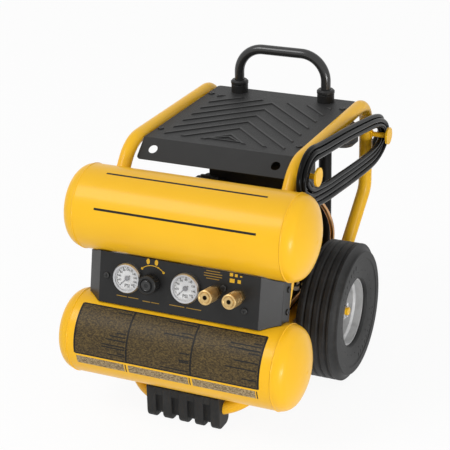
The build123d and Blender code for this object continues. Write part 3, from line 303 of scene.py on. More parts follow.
def metal(name, color, rough, scale=(1, 1, 1), grain=900, relief=0.00004):
    """Bare metal with light tarnish and fine marks, which the scale draws out across an axis."""
    bare = Shader(name, Metallic=1.0)
    marks = bare.noise(grain, 4, 0.6, bare.stretched(scale))
    tarnish = bare.noise(45, 4, 0.6).between(0.45, 0.8)
    shade = bare.mix(tarnish * 0.5, color, darker(color, 0.6))
    bare.set(Base_Color=shade, Roughness=rough + 0.15 * marks + 0.1 * tarnish)
    bare.bump(marks, relief, 0.6, 0.0005)
    return bare.material


def painted_silver():
    """Silver-grey wheel enamel, dusty in patches."""
    paint = Shader("silver_enamel", Metallic=0.25, Coat_Weight=0.3, Coat_Roughness=0.15)
    cloud = paint.noise(40, 4, 0.6)
    shade = paint.mix(cloud.between(0.35, 0.8), grey(0.58), grey(0.42))
    paint.set(Base_Color=shade, Roughness=0.32 + 0.2 * cloud)
    paint.bump(paint.noise(500, 2), 0.0001, 0.4, 0.001)
    return paint.material


def dial_paper():
    face = Shader("dial_paper", Roughness=0.5, Specular_IOR_Level=0.2)
    face.set(Base_Color=face.mix(face.noise(80, 3), grey(0.68), grey(0.76)))
    return face.material


def clear_plastic():
    """Thin clear lens: mostly see-through, with a soft shine."""
    return Shader("clear_plastic", Base_Color=(1, 1, 1), Roughness=0.05, Alpha=0.1).material


def ink(name, color):
    """Printed ink, slightly worn."""
    coat = Shader(name, Specular_IOR_Level=0.2)
    wear = coat.noise(300, 4, 0.7)
    coat.set(Base_Color=coat.mix(wear, darker(color, 0.85), color), Roughness=0.45 + 0.1 * wear)
    return coat.material


def speckle(name, dark, light):
    """Speckled film: a dense fine grain of two tones."""
    film = Shader(name, Specular_IOR_Level=0.2)
    grain = film.noise(420, 4, 0.8, film.stretched((0.6, 1, 1))).between(0.40, 0.64)
    patch = film.noise(30, 3)
    film.set(Base_Color=film.mix(grain * (0.6 + 0.4 * patch), dark, light), Roughness=0.42 + 0.1 * patch)
    return film.material


def jacket():
    """Smooth black cord jacket with a soft shine."""
    sheath = Shader("cord_jacket", Specular_IOR_Level=0.08)
    scuff = sheath.noise(90, 5, 0.7)
    shade = sheath.mix(scuff.between(0.45, 0.8) * 0.5, grey(0.004), grey(0.014))
    sheath.set(Base_Color=shade, Roughness=0.16 + 0.12 * scuff)
    sheath.bump(sheath.noise(400, 3), 0.0001, 0.5)
    return sheath.material


TURNED_MARKS = (1, 12, 1)       # rings round a piece whose axis runs from front to back
DRAWN_MARKS = (12, 1, 1)        # lines along a pipe that runs up and back

YELLOW = enamel("yellow_enamel", edge=0.001)
TANK_YELLOW = enamel("tank_enamel", edge=0)
BLACK = satin_black("satin_black", tone=0.010, rough=0.32, grain=600, depth=0.0001, shine=0.13)
GLOSS_BLACK = satin_black("gloss_black", tone=0.020, rough=0.16, grain=500, depth=0.00004, shine=0.5,
                          edge=0.0005, dusty=0.03)
PLATE_BLACK = plate_coat()
PANEL_BLACK = satin_black("panel_black", tone=0.015, rough=0.30, grain=900, depth=0.0001, shine=0.25,
                          edge=0.0015)
CASTING = satin_black("casting_black", tone=0.03, rough=0.55, grain=350, depth=0.0008)
MOULDING = satin_black("moulding_black", tone=0.014, rough=0.38, grain=800, depth=0.0002, shine=0.3)
RUBBER = rubber("foot_rubber", tone=0.016, rough=0.5)
TYRE_RUBBER = rubber("tyre_rubber", tone=0.020, rough=0.5)
ZINC = metal("zinc_plate", (0.62, 0.62, 0.63), 0.3)
DARK_STEEL = metal("blackened_steel", (0.06, 0.06, 0.06), 0.35)
BRASS = metal("turned_brass", (0.64, 0.45, 0.20), 0.26, TURNED_MARKS)
# Darker brass that paints the shade deep in the sleeves' grooves.
GROOVE_SHADE_BRASS = metal("groove_shade_brass", (0.20, 0.11, 0.035), 0.45, TURNED_MARKS)
COPPER = metal("drawn_copper", (0.66, 0.37, 0.17), 0.22, DRAWN_MARKS)
CAST_ALUMINIUM = metal("cast_aluminium", (0.55, 0.55, 0.57), 0.42, grain=500, relief=0.0004)
BEZEL = metal("bezel_metal", (0.55, 0.55, 0.56), 0.3)
KNOB_GLOSS = satin_black("knob_gloss", tone=0.006, rough=0.10, grain=500, depth=0.00002, shine=0.7,
                         edge=0.0004, dusty=0.02)
SILVER = painted_silver()
DIAL = dial_paper()
LENS = clear_plastic()
NEEDLE = ink("needle_grey", (0.11, 0.11, 0.12))
BLACK_INK = ink("black_ink", (0.012, 0.012, 0.012))
YELLOW_INK = ink("yellow_ink", (0.72, 0.42, 0.03))
DIM_INK = ink("dim_ink", (0.36, 0.21, 0.03))
JACKET = jacket()
FILM_BROWN = speckle("film_brown", (0.030, 0.021, 0.011), (0.155, 0.105, 0.036))
FILM_TAN = speckle("film_tan", (0.14, 0.095, 0.045), (0.60, 0.47, 0.27))

SLOT_FINISH = {
    "yellow_paint": YELLOW, "black_paint": BLACK, "panel_paint": PANEL_BLACK, "plate_paint": PLATE_BLACK,
    "dark_casting": CASTING, "zinc_steel": ZINC, "bezel_grey": BEZEL, "brass": BRASS, "copper": COPPER,
    "aluminium": CAST_ALUMINIUM, "black_plastic": MOULDING, "black_rubber": RUBBER,
    "tyre_rubber": TYRE_RUBBER, "dial_white": DIAL, "needle_grey": NEEDLE, "clear_lens": LENS,
    "cord_jacket": JACKET, "rim_paint": SILVER,
}
NODE_FINISH = {"handle": GLOSS_BLACK, "plate_screws": DARK_STEEL, "panel_screws": DARK_STEEL,
               "upper_tank": TANK_YELLOW, "lower_tank": TANK_YELLOW}


def dress_nodes():
    for part in frame["record"]["subparts"]:
        node = frame["nodes"][part["node"]]
        node.data.materials.clear()
        node.data.materials.append(NODE_FINISH.get(part["node"], SLOT_FINISH[part["material_slot"]]))


# ---------------------------------------------------------------- mesh forms
ROUND = 2                # squareness of a round section
SHARP_EDGE = radians(35)


def mesh_piece(name, points, faces, material):
    data = bpy.data.meshes.new(name)
    data.from_pydata([tuple(p) for p in points], [], faces)
    data.materials.append(material)
    data.validate()
    return link(name, data)


def select_only(pieces):
    bpy.ops.object.select_all(action="DESELECT")
    for piece in pieces:
        piece.select_set(True)
    bpy.context.view_layer.objects.active = pieces[0]


def join(name, pieces, body):
    """One piece from several, riding on a body."""
    select_only(pieces)
    if len(pieces) > 1:
        bpy.ops.object.join()
    whole = pieces[0]
    whole.name = name
    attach(whole, body)
    return whole


def frame_along(place, axis, side):
    """Turns local z to the axis and local x towards the side, at a place."""
    axis = Vector(axis).normalized()
    side = (Vector(side) - axis * axis.dot(Vector(side))).normalized()
    turn = Matrix((side, axis.cross(side), axis)).transposed().to_4x4()
    return Matrix.Translation(Vector(place)) @ turn


def lofted(name, sections, turn, material, count=32, hollow=False):
    """A form through sections (distance along, half width, half depth, squareness), in metres.

    A section may have a notch as its fifth value, which sinks every other point, for knurls. A hollow
    form closes on itself.
    """
    points = []
    for along, wide, deep, square, *notch in sections:
        for k in range(count):
            across, up = cos(2 * pi * k / count), sin(2 * pi * k / count)
            sink = notch[0] * (k % 2) if notch else 0
            x = copysign((wide - sink) * abs(across) ** (2 / square), across)
            y = copysign((deep - sink) * abs(up) ** (2 / square), up)
            points.append(turn @ Vector((x, y, along)))
    faces = []
    rings = len(sections)
    for ring in range(rings if hollow else rings - 1):
        below = ring * count
        above = (ring + 1) % rings * count
        for k in range(count):
            after = (k + 1) % count
            faces.append([below + k, below + after, above + after, above + k])
    if not hollow:
        faces += [list(reversed(range(count))), [len(points) - count + k for k in range(count)]]
    piece = mesh_piece(name, points, faces, material)
    piece.data.shade_smooth()
    piece.data.set_sharp_from_angle(angle=SHARP_EDGE)
    return piece


def turned(name, profile, turn, material, count=32, hollow=False):
    """A turned form from (distance along, radius) pairs, with an optional knurl depth as a third value."""
    sections = [(along, radius, radius, ROUND, *knurl) for along, radius, *knurl in profile]
    return lofted(name, sections, turn, material, count, hollow)


def steps_from(start, radius, steps):
    """Part of a turned profile, by steps along and outward from a start and a radius."""
    return [(start + along, radius + outward) for along, outward in steps]


# One raised ring of a strain relief, in shares of the rings' pitch and height.
RELIEF_RING = ((0, 0), (0.25, 1), (0.6, 1), (0.8, 0))


def ribbed_taper(length, thick, thin, rings, proud):
    """Profile of a moulded strain relief: a taper with raised rings, from its thin end."""
    profile = []
    pitch = length / rings
    for k in range(rings):
        start = k * pitch
        base = thin + (thick - thin) * start / length
        profile += [(start + along * pitch, base + share * proud) for along, share in RELIEF_RING]
    return profile + [(length, thick)]


# ---------------------------------------------------------------- cord, in millimetres but for its radius
CORD_R = 0.0045
LEAD = [(36, -61, 354), (58, -61, 354), (88, -66, 360), (118, -75, 377), (146, -80, 400), (178, -72, 411)]
RING = [(-84, 417), (-112, 437), (-126, 459), (-115, 481), (-88, 489), (-54, 484), (3, 477), (87, 467),
        (176, 454), (238, 444), (281, 431), (303, 411), (300, 391), (279, 379), (243, 373), (190, 376),
        (120, 382), (52, 389), (-2, 394), (-46, 401)]
TAIL = [(186, 303, 421), (178, 317, 408), (173, 319.5, 391)]
TURNS = 4
LAST_TURN_POINTS = 11    # the last, unfinished turn ends over the rear peg
RING_FRONT, RING_BACK = 188.4, 189.4    # how far right the ring's front and back ends lie
STRAND = 9.4             # spacing of neighbouring turns where they hang in a row
# Where each turn lies in the bunch on the pegs: across the ring and outward from it.
BUNCHED = [(-4.7, -6.2), (4.7, -5.8), (-4.7, 3.2), (4.7, 3.6), (-0.6, 11.2)]
# The turns fan out where they come over the front, by these shares at the ring's points.
FAN = {0: 0.4, 1: 0.9, 2: 1, 3: 0.8, 4: 0.4}
FAN_STEP = 2.0
FAN_MIDDLE = 1.5
CORD_SEED = 11
SLACK = 0.8              # most that a turn hangs out of its place in the row
SLACK_ACROSS, SLACK_OUTWARD = 1.2, 0.8  # shares of the slack that show each way
UNEVEN = 0.35            # most that one point strays inward or outward


def smooth_curve(name, points, radius, material):
    """A round tube along one smooth spline, with the points as its control points."""
    data = bpy.data.curves.new(name, "CURVE")
    data.dimensions = "3D"
    data.bevel_depth = radius
    data.bevel_resolution = 4
    data.resolution_u = 6
    data.use_fill_caps = True
    spline = data.splines.new("NURBS")
    spline.points.add(len(points) - 1)
    for place, point in zip(spline.points, points):
        place.co = (*point, 1)
    spline.use_endpoint_u = True
    spline.order_u = 3
    data.materials.append(material)
    return link(name, data)


def ring_frame(k):
    """A point of the ring in the coil's plane and its outward normal."""
    (y0, z0), (y, z), (y1, z1) = RING[k - 1], RING[k], RING[(k + 1) % len(RING)]
    out = Vector((0, -(z1 - z0), y1 - y0)).normalized()
    front, back = min(RING)[0], max(RING)[0]
    along = (y - front) / (back - front)
    return Vector((RING_FRONT + (RING_BACK - RING_FRONT) * along, y, z)), out


def hanging_turns():
    """Turns of the cord over both pegs: bunched above, in a hanging row below, each a little different."""
    dice = random.Random(CORD_SEED)
    points = []
    for turn in range(TURNS + 1):
        across, bunched = BUNCHED[turn]
        row = (turn - (TURNS - 1) / 2) * STRAND
        slack = dice.uniform(-SLACK, SLACK)
        for k in range(len(RING) if turn < TURNS else LAST_TURN_POINTS):
            place, out = ring_frame(k)
            loose = 0.5 - 0.5 * out.z       # 0 on top of the pegs, 1 in the hanging row
            side = across * (1 - loose**3) + SLACK_ACROSS * slack * loose
            outward = bunched + (row - bunched) * loose + SLACK_OUTWARD * slack * loose
            outward += dice.uniform(-UNEVEN, UNEVEN)
            outward += FAN.get(k, 0) * (turn - FAN_MIDDLE) * FAN_STEP
            points.append(place + out * outward + Vector((side, 0, 0)))
    return in_metres(points)


def make_cord():
    points = in_metres(LEAD) + hanging_turns() + in_metres(TAIL)
    cord = smooth_curve("power_cord", points, CORD_R, JACKET)
    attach(cord, CHASSIS)
    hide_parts("cord_lead", "cord_coil")
    return cord


# ---------------------------------------------------------------- pieces on the cord
BOOT_LENGTH = 0.018
BOOT_THICK, BOOT_THIN = CORD_R + 0.004, CORD_R + 0.0005
BOOT_RINGS = 5
BOOT_PROUD = 0.0011
PLUG_LENGTH = 0.026
PLUG_R = 0.013
# Distance past the boot, half width and half depth in shares of the plug's radius, and squareness.
PLUG_SECTIONS = ((-0.002, 0.6, 0.6, ROUND), (0, 0.82, 0.78, 2.4), (0.005, 0.98, 0.93, 3),
                 (0.018, 1, 0.96, 3.4), (0.0185, 0.93, 0.89, 3.4), (0.020, 0.93, 0.89, 3.4),
                 (0.0205, 1, 0.96, 3.4), (0.025, 1, 0.96, 3.4), (PLUG_LENGTH, 0.94, 0.9, 3.2))
# Distance past the plug's front, half thickness, half width and squareness.
BLADE_SECTIONS = ((-0.001, 0.00075, 0.0031, 9), (0.0145, 0.00075, 0.0031, 9), (0.016, 0.0005, 0.0022, 6))
BLADE_PLACES = ((-0.0063, -0.004, 0), (0.0063, -0.004, 0))
PIN_STEPS = ((-0.001, 0.0024), (0.016, 0.0024), (0.0182, 0.0017), (0.019, 0.0006))
PIN_PLACE = (0, 0.0072, 0)


def make_plug():
    """Grounded plug: ribbed boot, squarish moulded body, two blades and a round pin."""
    before, end = in_metres(TAIL[-2:])
    turn = frame_along(end, end - before, (0, 1, 0))
    taper = ribbed_taper(BOOT_LENGTH, BOOT_THICK, BOOT_THIN, BOOT_RINGS, BOOT_PROUD)
    boot = turned("boot", taper, turn, RUBBER)
    sections = [(BOOT_LENGTH + along, wide * PLUG_R, deep * PLUG_R, square)
                for along, wide, deep, square in PLUG_SECTIONS]
    body = lofted("body", sections, turn, RUBBER)
    front = BOOT_LENGTH + PLUG_LENGTH
    sections = [(front + along, *rest) for along, *rest in BLADE_SECTIONS]
    prongs = [lofted("blade", sections, turn @ Matrix.Translation(place), ZINC, 24) for place in BLADE_PLACES]
    pin = turn @ Matrix.Translation(PIN_PLACE)
    prongs.append(turned("pin", steps_from(front, 0, PIN_STEPS), pin, ZINC, 20))
    grip = join("plug_body", [boot, body], CHASSIS)
    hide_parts("cord_plug")
    return grip, join("plug_prongs", prongs, CHASSIS)


RELIEF_LENGTH = 0.026
RELIEF_IN_GLAND = 0.004
RELIEF_THICK, RELIEF_THIN = CORD_R + 0.0032, CORD_R + 0.0006
RELIEF_RINGS = 6
RELIEF_PROUD = 0.0009


def make_relief():
    """Ribbed strain relief over the first stretch of the cord."""
    far = in_metres(LEAD)[0] + Vector((RELIEF_LENGTH - RELIEF_IN_GLAND, 0, 0))
    taper = ribbed_taper(RELIEF_LENGTH, RELIEF_THICK, RELIEF_THIN, RELIEF_RINGS, RELIEF_PROUD)
    relief = turned("relief", taper, frame_along(far, (-1, 0, 0), (0, 0, 1)), RUBBER)
    return join("strain_relief", [relief], CHASSIS)


# ---------------------------------------------------------------- the panel's face
FILM = 0.00015           # thickness of ink or film over the surface it lies on
FILM_SUNK = 0.6          # how far it goes below that surface, as a share of its thickness
DISC_POINTS = 20
BOLD = 0.035             # how much a letter's outline is thickened, in shares of its size


def slab(points, faces, outward, thickness):
    """Closes a sheet of faces into a thin solid; outward gives each point's normal."""
    count = len(points)
    back = [p - FILM_SUNK * thickness * n for p, n in zip(points, outward)]
    front = [p + thickness * n for p, n in zip(points, outward)]
    rim = {}
    for face in faces:
        for start, end in zip(face, face[1:] + face[:1]):
            if (end, start) in rim:
                del rim[(end, start)]
            else:
                rim[(start, end)] = True
    sides = [(start + count, end + count, end, start) for start, end in rim]
    inner = [tuple(reversed([k + count for k in face])) for face in faces]
    return front + back, [tuple(f) for f in faces] + inner + sides


def ladder(steps):
    """Faces of a strip whose points come in pairs."""
    return [[2 * k, 2 * k + 2, 2 * k + 3, 2 * k + 1] for k in range(steps)]


class Face:
    """A flat place on the panel: x to the right, y up the panel, out away from it, in metres."""

    def __init__(self, origin, lift=0.0):
        self.out = -Vector(joint("tank_needle_turn")["axis"]).normalized()
        self.right = Vector((1, 0, 0))
        self.up = self.out.cross(self.right)
        self.origin = Vector(origin) + self.out * lift

    def at(self, x, y):
        return self.origin + self.right * x + self.up * y

    def printed(self, name, points, faces, material):
        return mesh_piece(name, *slab(points, faces, [self.out] * len(points), FILM), material)

    def sheet(self, name, corners, material):
        return self.printed(name, [self.at(x, y) for x, y in corners], [list(range(len(corners)))], material)

    def bar(self, name, x, y, wide, tall, material):
        left, right = x - wide / 2, x + wide / 2
        low, high = y - tall / 2, y + tall / 2
        return self.sheet(name, [(left, low), (right, low), (right, high), (left, high)], material)

    def disc(self, name, x, y, radius, material, squash=1.0):
        turns = [2 * pi * k / DISC_POINTS for k in range(DISC_POINTS)]
        rim = [(x + radius * squash * cos(turn), y + radius * sin(turn)) for turn in turns]
        return self.sheet(name, rim, material)

    def arc(self, name, y, radius, width, start, end, material, steps=24):
        """A curved band round a point up the panel; angles from straight up, clockwise, in degrees."""
        points = []
        for k in range(steps + 1):
            angle = radians(start + (end - start) * k / steps)
            for edge in (radius - width / 2, radius + width / 2):
                points.append(self.at(edge * sin(angle), y + edge * cos(angle)))
        return self.printed(name, points, ladder(steps), material)

    def text(self, words, x, y, size, material):
        data = bpy.data.curves.new("numeral", "FONT")
        data.body = words
        data.size = size
        data.align_x, data.align_y = "CENTER", "CENTER"
        data.extrude = FILM
        data.offset = size * BOLD
        data.resolution_u = 3
        letter = link("numeral", data)
        turn = Matrix((self.right, self.up, self.out)).transposed().to_4x4()
        letter.matrix_world = Matrix.Translation(self.at(x, y)) @ turn
        select_only([letter])
        bpy.ops.object.convert(target="MESH")
        letter = bpy.context.view_layer.objects.active
        bpy.ops.object.transform_apply(location=True, rotation=True, scale=True)
        letter.data.materials.clear()
        letter.data.materials.append(material)
        return letter


DIAL_PROUD = 0.0035      # dial face in front of the panel
DIAL_SWEEP = 135.0
TICK_R = 0.0205
LONG_TICK = (0.0029, 3.2)    # length, and half of its width in degrees
SHORT_TICK = (0.0015, 1.4)
SCALE_LINE = 0.0004
NUMERAL_R = 0.0152
NUMERAL_SIZE = 0.0050
UNIT_DROP = 0.0138
UNIT_SIZE = 0.0085
NUMERAL_STEP = 20
TICK_STEP = 10


def dial_print(name, centre, top_number):
    """Scale ticks and numerals round a dial."""
    face = Face(centre, DIAL_PROUD)
    marks = []
    count = top_number // TICK_STEP
    for k in range(count + 1):
        angle = -DIAL_SWEEP + 2 * DIAL_SWEEP * k / count
        numbered = k * TICK_STEP % NUMERAL_STEP == 0
        length, half = LONG_TICK if numbered else SHORT_TICK
        middle_r = TICK_R - length / 2
        marks.append(face.arc("tick", 0, middle_r, length, angle - half, angle + half, BLACK_INK, 1))
        if numbered:
            x, y = NUMERAL_R * sin(radians(angle)), NUMERAL_R * cos(radians(angle))
            marks.append(face.text(str(k * TICK_STEP), x, y, NUMERAL_SIZE, BLACK_INK))
    line_r = TICK_R + SCALE_LINE / 2
    marks.append(face.arc("scale", 0, line_r, SCALE_LINE, -DIAL_SWEEP, DIAL_SWEEP, BLACK_INK, 48))
    marks.append(face.text("PSI", 0, -UNIT_DROP, UNIT_SIZE, BLACK_INK))
    join(name, marks, CHASSIS)


KNOB_ARC_R = 0.030
KNOB_ARC_RISE = 0.001
KNOB_ARC_WIDTH = 0.0012
KNOB_ARC_ENDS = (-42, 46)
KNOB_DOTS = ((-42, 0.0022), (46, 0.0022), (22, 0.0014))     # angle on the arc, radius
KNOB_SPOTS = (-0.009, 0.007)
KNOB_SPOT_RISE = 0.0375
KNOB_SPOT_R = 0.0052
KNOB_SPOT_SQUASH = 0.62
CAPTIONS = (("regulator_knob_turn", 0.033), ("tank_needle_turn", 0.044), ("outlet_needle_turn", 0.062))
CAPTION_DROP = 0.0348
CAPTION_TALL = 0.0014
CAPTION_SHARE = 0.46     # of the caption's width, for each of its two bars
CAPTION_OFFSET = 0.26    # of the caption's width, from its middle to the middle of each bar
OUTLET_LINES = (0.026, 0.034, 0.034, 0.024)
OUTLET_LINE_X = -0.006
OUTLET_LINE_Y = 0.036
OUTLET_LINE_PITCH = 0.0044
OUTLET_LINE_TALL = 0.0013
# Place right and up from the left outlet, width and height.
OUTLET_BLOCKS = ((0.028, 0.036, 0.006, 0.006), (0.037, 0.0355, 0.005, 0.005), (0.046, 0.035, 0.004, 0.002),
                 (0.030, 0.0255, 0.009, 0.007), (0.043, 0.0255, 0.006, 0.006))


def knob_marks(knob):
    """An arc with three dots over the knob, and two tall spots above it."""
    marks = [knob.arc("arc", KNOB_ARC_RISE, KNOB_ARC_R, KNOB_ARC_WIDTH, *KNOB_ARC_ENDS, YELLOW_INK)]
    for angle, radius in KNOB_DOTS:
        x = KNOB_ARC_R * sin(radians(angle))
        y = KNOB_ARC_RISE + KNOB_ARC_R * cos(radians(angle))
        marks.append(knob.disc("dot", x, y, radius, YELLOW_INK))
    for x in KNOB_SPOTS:
        marks.append(knob.disc("spot", x, KNOB_SPOT_RISE, KNOB_SPOT_R, YELLOW_INK, KNOB_SPOT_SQUASH))
    return marks


def panel_print():
    """Plain marks on the panel: an arc over the knob, and blank lines and blocks in place of captions."""
    knob = Face(joint("regulator_knob_turn")["pos_m"])
    marks = knob_marks(knob)
    for control, wide in CAPTIONS:
        place = Face(joint(control)["pos_m"])
        for x in (-CAPTION_OFFSET * wide, CAPTION_OFFSET * wide):
            marks.append(place.bar("caption", x, -CAPTION_DROP, CAPTION_SHARE * wide, CAPTION_TALL, DIM_INK))
    outlet = Face(mount("left_air_outlet")["pos_m"])
    # The outlet's mount stands out at its mouth, so its marks go back to the panel, where the knob's are.
    outlet.origin -= outlet.out * (outlet.origin - knob.origin).dot(outlet.out)
    for k, wide in enumerate(OUTLET_LINES):
        y = OUTLET_LINE_Y - OUTLET_LINE_PITCH * k
        marks.append(outlet.bar("line", OUTLET_LINE_X, y, wide, OUTLET_LINE_TALL, DIM_INK))
    marks += [outlet.bar("block", *block, YELLOW_INK) for block in OUTLET_BLOCKS]
    join("panel_print", marks, CHASSIS)


# ---------------------------------------------------------------- turned and moulded details
def reach(node, face):
    """How far a node goes along a face's outward direction, and its smallest and largest radius about it."""
    places = [v.co - face.origin for v in frame["nodes"][node].data.vertices]
    along = [p.dot(face.out) for p in places]
    radii = [(p - face.out * a).length for p, a in zip(places, along)]
    return min(along), max(along), min(radii), max(radii)


SLEEVE_BANDS = 6
SLEEVE_BACK = 0.001      # plain length behind the first band
SLEEVE_PLAIN = 0.003     # plain length behind the bands and in front of them together
SLEEVE_CHAMFER = 0.0008
SLEEVE_POINTS = 72
KNURL = 0.0004
BAND_GROOVE = 0.0016     # depth
GROOVE_BACK, GROOVE_FRONT = 0.0015, 0.0003  # how far a groove's ends lie behind the next band
BAND_EDGE = 0.0002
GROOVE_SHADE_SHARE = 0.6         # of a groove's depth, below which its faces get the painted groove shade
BORE_WALL = 0.001        # faces this close to the bore belong to it
NOSE_LENGTH = 0.0025     # and faces this close to the front end to the nose
SLEEVE_NOSE = ((-0.002, 0), (-0.0008, -0.0002), (0, -0.0014))   # steps from the front end and outer radius
SLEEVE_MOUTH = ((0, 0.0022), (-0.0012, 0.0012), (-0.0014, 0))   # steps from the front end and the bore
SEAL_STEPS = ((-0.0015, 0.0003), (-0.002, -0.0005), (-0.0025, 0.0003))
VALVE_STEPS = ((-0.010, 0), (-0.0065, 0))
VALVE_TIP = (-0.006, 0.0016)
SEAL_POINTS = 28


def sleeve_profile(low, high, bore, outer):
    """Outline of a sleeve: plain and knurled bands by turns, grooves between them and a dished mouth."""
    pitch = (high - low - SLEEVE_PLAIN) / SLEEVE_BANDS
    profile = [(low, outer - SLEEVE_CHAMFER)]
    for k in range(SLEEVE_BANDS):
        knurl = KNURL if k % 2 else 0
        start = low + SLEEVE_BACK + k * pitch
        groove, end = start + pitch - GROOVE_BACK, start + pitch - GROOVE_FRONT
        profile += [(start, outer, 0), (start + BAND_EDGE, outer, knurl),
                    (groove - 2 * BAND_EDGE, outer, knurl), (groove - BAND_EDGE, outer, 0),
                    (groove, outer - BAND_GROOVE), (end, outer - BAND_GROOVE)]
    profile += steps_from(high, outer, SLEEVE_NOSE) + steps_from(high, bore, SLEEVE_MOUTH)
    return profile + [(low, bore)]


def paint_groove_shade(sleeve, face, high, bore, outer):
    """Gives the faces deep in the grooves between the bands a darker brass, as painted shade."""
    sleeve.data.materials.append(GROOVE_SHADE_BRASS)
    for polygon in sleeve.data.polygons:
        away = polygon.center - face.origin
        along = away.dot(face.out)
        radius = (away - face.out * along).length
        sunk = bore + BORE_WALL < radius < outer - GROOVE_SHADE_SHARE * BAND_GROOVE
        polygon.material_index = int(sunk and along < high - NOSE_LENGTH)


def coupler_sleeves():
    """Banded, knurled sleeves in place of the plain ones, with painted shade deep in their grooves, and the black
    seal and valve in each mouth; the valve is a real part whose black also paints the shade down the bore.
    """
    seals = []
    for side in ("left", "right"):
        outlet = mount(side + "_air_outlet")
        face = Face(outlet["pos_m"])
        node = side + "_coupler_sleeve"
        low, high, bore, outer = reach(node, face)
        turn = frame_along(face.origin, face.out, face.right)
        profile = sleeve_profile(low, high, bore, outer)
        sleeve = turned(node + "_turned", profile, turn, BRASS, SLEEVE_POINTS, True)
        paint_groove_shade(sleeve, face, high, bore, outer)
        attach(sleeve, node)
        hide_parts(node)
        mouth = reach("couplers", face)[1]
        hose_bore = outlet["dims"]["r_mm"] / 1000
        seal = steps_from(mouth, hose_bore, SEAL_STEPS)
        # The valve is a real part, made black so that it also paints the shade down the bore.
        valve = steps_from(mouth, hose_bore, VALVE_STEPS) + steps_from(mouth, 0, [VALVE_TIP])
        seals.append(turned("seal", seal, turn, RUBBER, SEAL_POINTS, True))
        seals.append(turned("valve", valve, turn, RUBBER, SEAL_POINTS))
    join("coupler_seals_and_bore_shade", seals, CHASSIS)


# Steps along from the knob's end, and radii.
KNOB_RING = ((-0.0004, 0.0092), (0.0005, 0.0091), (0.0009, 0.0085), (0.0005, 0.0079), (-0.0004, 0.0078))
KNOB_CAP = ((-0.0006, 0.0079), (0.0003, 0.0078), (0.0002, 0.0060), (-0.0001, 0.0030), (-0.0002, 0.0010))
KNOB_POINTS = 48


def knob_trim():
    """Glossy ring and dished cap in the end of the regulator's knob."""
    face = Face(joint("regulator_knob_turn")["pos_m"])
    end = reach("regulator_knob", face)[1]
    turn = frame_along(face.origin, face.out, face.right)
    ring = turned("ring", steps_from(end, 0, KNOB_RING), turn, KNOB_GLOSS, KNOB_POINTS, True)
    cap = turned("cap", steps_from(end, 0, KNOB_CAP), turn, KNOB_GLOSS, KNOB_POINTS)
    join("knob_ring", [ring], "regulator_knob")
    join("knob_cap", [cap], "regulator_knob")


CREST_DEPTH = 0.0003     # points this close below the plate's top are on a rib's crest
APEX_HALF = 0.003        # and this close to the plate's middle are at its apex
TRIANGLE_HALF = 0.034
TRIANGLE_TIP, TRIANGLE_BASE = 0.006, 0.030  # in front of the foremost rib's apex
TRIANGLE_RISE = RIB_RISE - 0.0001
# Share of the triangle's size and height over the deck, from its foot to its dished middle.
TRIANGLE_RINGS = ((1, -0.0002), (1, 0.0001), (0.9, TRIANGLE_RISE), (0.72, TRIANGLE_RISE), (0.66, 0.0003))


def plate_triangle():
    """Raised triangle that closes the foremost chevron of the top plate."""
    plate = [v.co for v in frame["nodes"]["top_plate"].data.vertices]
    top = max(place.z for place in plate)
    apex = min(place.y for place in plate if place.z > top - CREST_DEPTH and abs(place.x) < APEX_HALF)
    deck = top - RIB_RISE
    outline = [(0, apex - TRIANGLE_TIP), (-TRIANGLE_HALF, apex - TRIANGLE_BASE),
               (TRIANGLE_HALF, apex - TRIANGLE_BASE)]
    centre_y = sum(y for _, y in outline) / 3
    points = []
    for share, rise in TRIANGLE_RINGS:
        points += [Vector((share * x, centre_y + share * (y - centre_y), deck + rise)) for x, y in outline]
    faces = []
    for ring in range(0, len(points) - 3, 3):
        for k in range(3):
            after = (k + 1) % 3
            faces.append([ring + k, ring + after, ring + 3 + after, ring + 3 + k])
    faces += [[2, 1, 0], [len(points) - 3, len(points) - 2, len(points) - 1]]
    triangle = mesh_piece("triangle", points, faces, PLATE_BLACK)
    join("plate_triangle", [triangle], CHASSIS)


PIPE_ROUTE = [(72, 96, 346.7), (72, 120, 346.7), (82, 138, 340), (103, 149, 318), (118, 165, 288),
              (122, 188, 255), (122, 203, 222), (122, 196, 188), (122, 170, 168), (122, 120, 165.7),
              (122, 20, 165.7), (122, -48, 165.7), (117, -70, 160), (107, -84, 151), (105, -95, 148),
              (105, -108.1, 148)]
PIPE_R = 0.0045


def copper_pipe():
    """The discharge pipe as one smooth bent tube."""
    pipe = smooth_curve("copper_pipe", in_metres(PIPE_ROUTE), PIPE_R, COPPER)
    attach(pipe, CHASSIS)
    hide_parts("discharge_pipe")


PEG_R = 0.005
BEAD_R = PEG_R + 0.0008
BEAD_THICK = 0.0016
BEAD_LUMPS = 13
BEAD_UNEVEN = 0.14       # share of the thickness
BEAD_SINK = 0.0004       # into the tube
BEAD_POINTS, BEAD_SIDES = 52, 10
BEAD_START = (0, 0.3, 1)        # direction from which the lumps are counted


def weld_bead(place, axis):
    """A lumpy fillet of weld round a joint."""
    turn = frame_along(place, axis, BEAD_START)
    points, faces = [], []
    for k in range(BEAD_POINTS):
        angle = 2 * pi * k / BEAD_POINTS
        after = (k + 1) % BEAD_POINTS * BEAD_SIDES
        fat = BEAD_THICK * (1 + BEAD_UNEVEN * sin(BEAD_LUMPS * angle))
        for m in range(BEAD_SIDES):
            tilt = 2 * pi * m / BEAD_SIDES
            across = BEAD_R + fat * cos(tilt)
            points.append(turn @ Vector((across * cos(angle), across * sin(angle), fat * sin(tilt))))
            beside = (m + 1) % BEAD_SIDES
            faces.append([k * BEAD_SIDES + m, after + m, after + beside, k * BEAD_SIDES + beside])
    piece = mesh_piece("bead", points, faces, YELLOW)
    piece.data.shade_smooth()
    return piece


def peg_welds():
    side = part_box("right_side_tube")[1][0] - BEAD_SINK
    centres = [middle(node) for node in ("front_cord_peg", "rear_cord_peg")]
    beads = [weld_bead((side, centre.y, centre.z), (1, 0, 0)) for centre in centres]
    join("peg_welds", beads, CHASSIS)


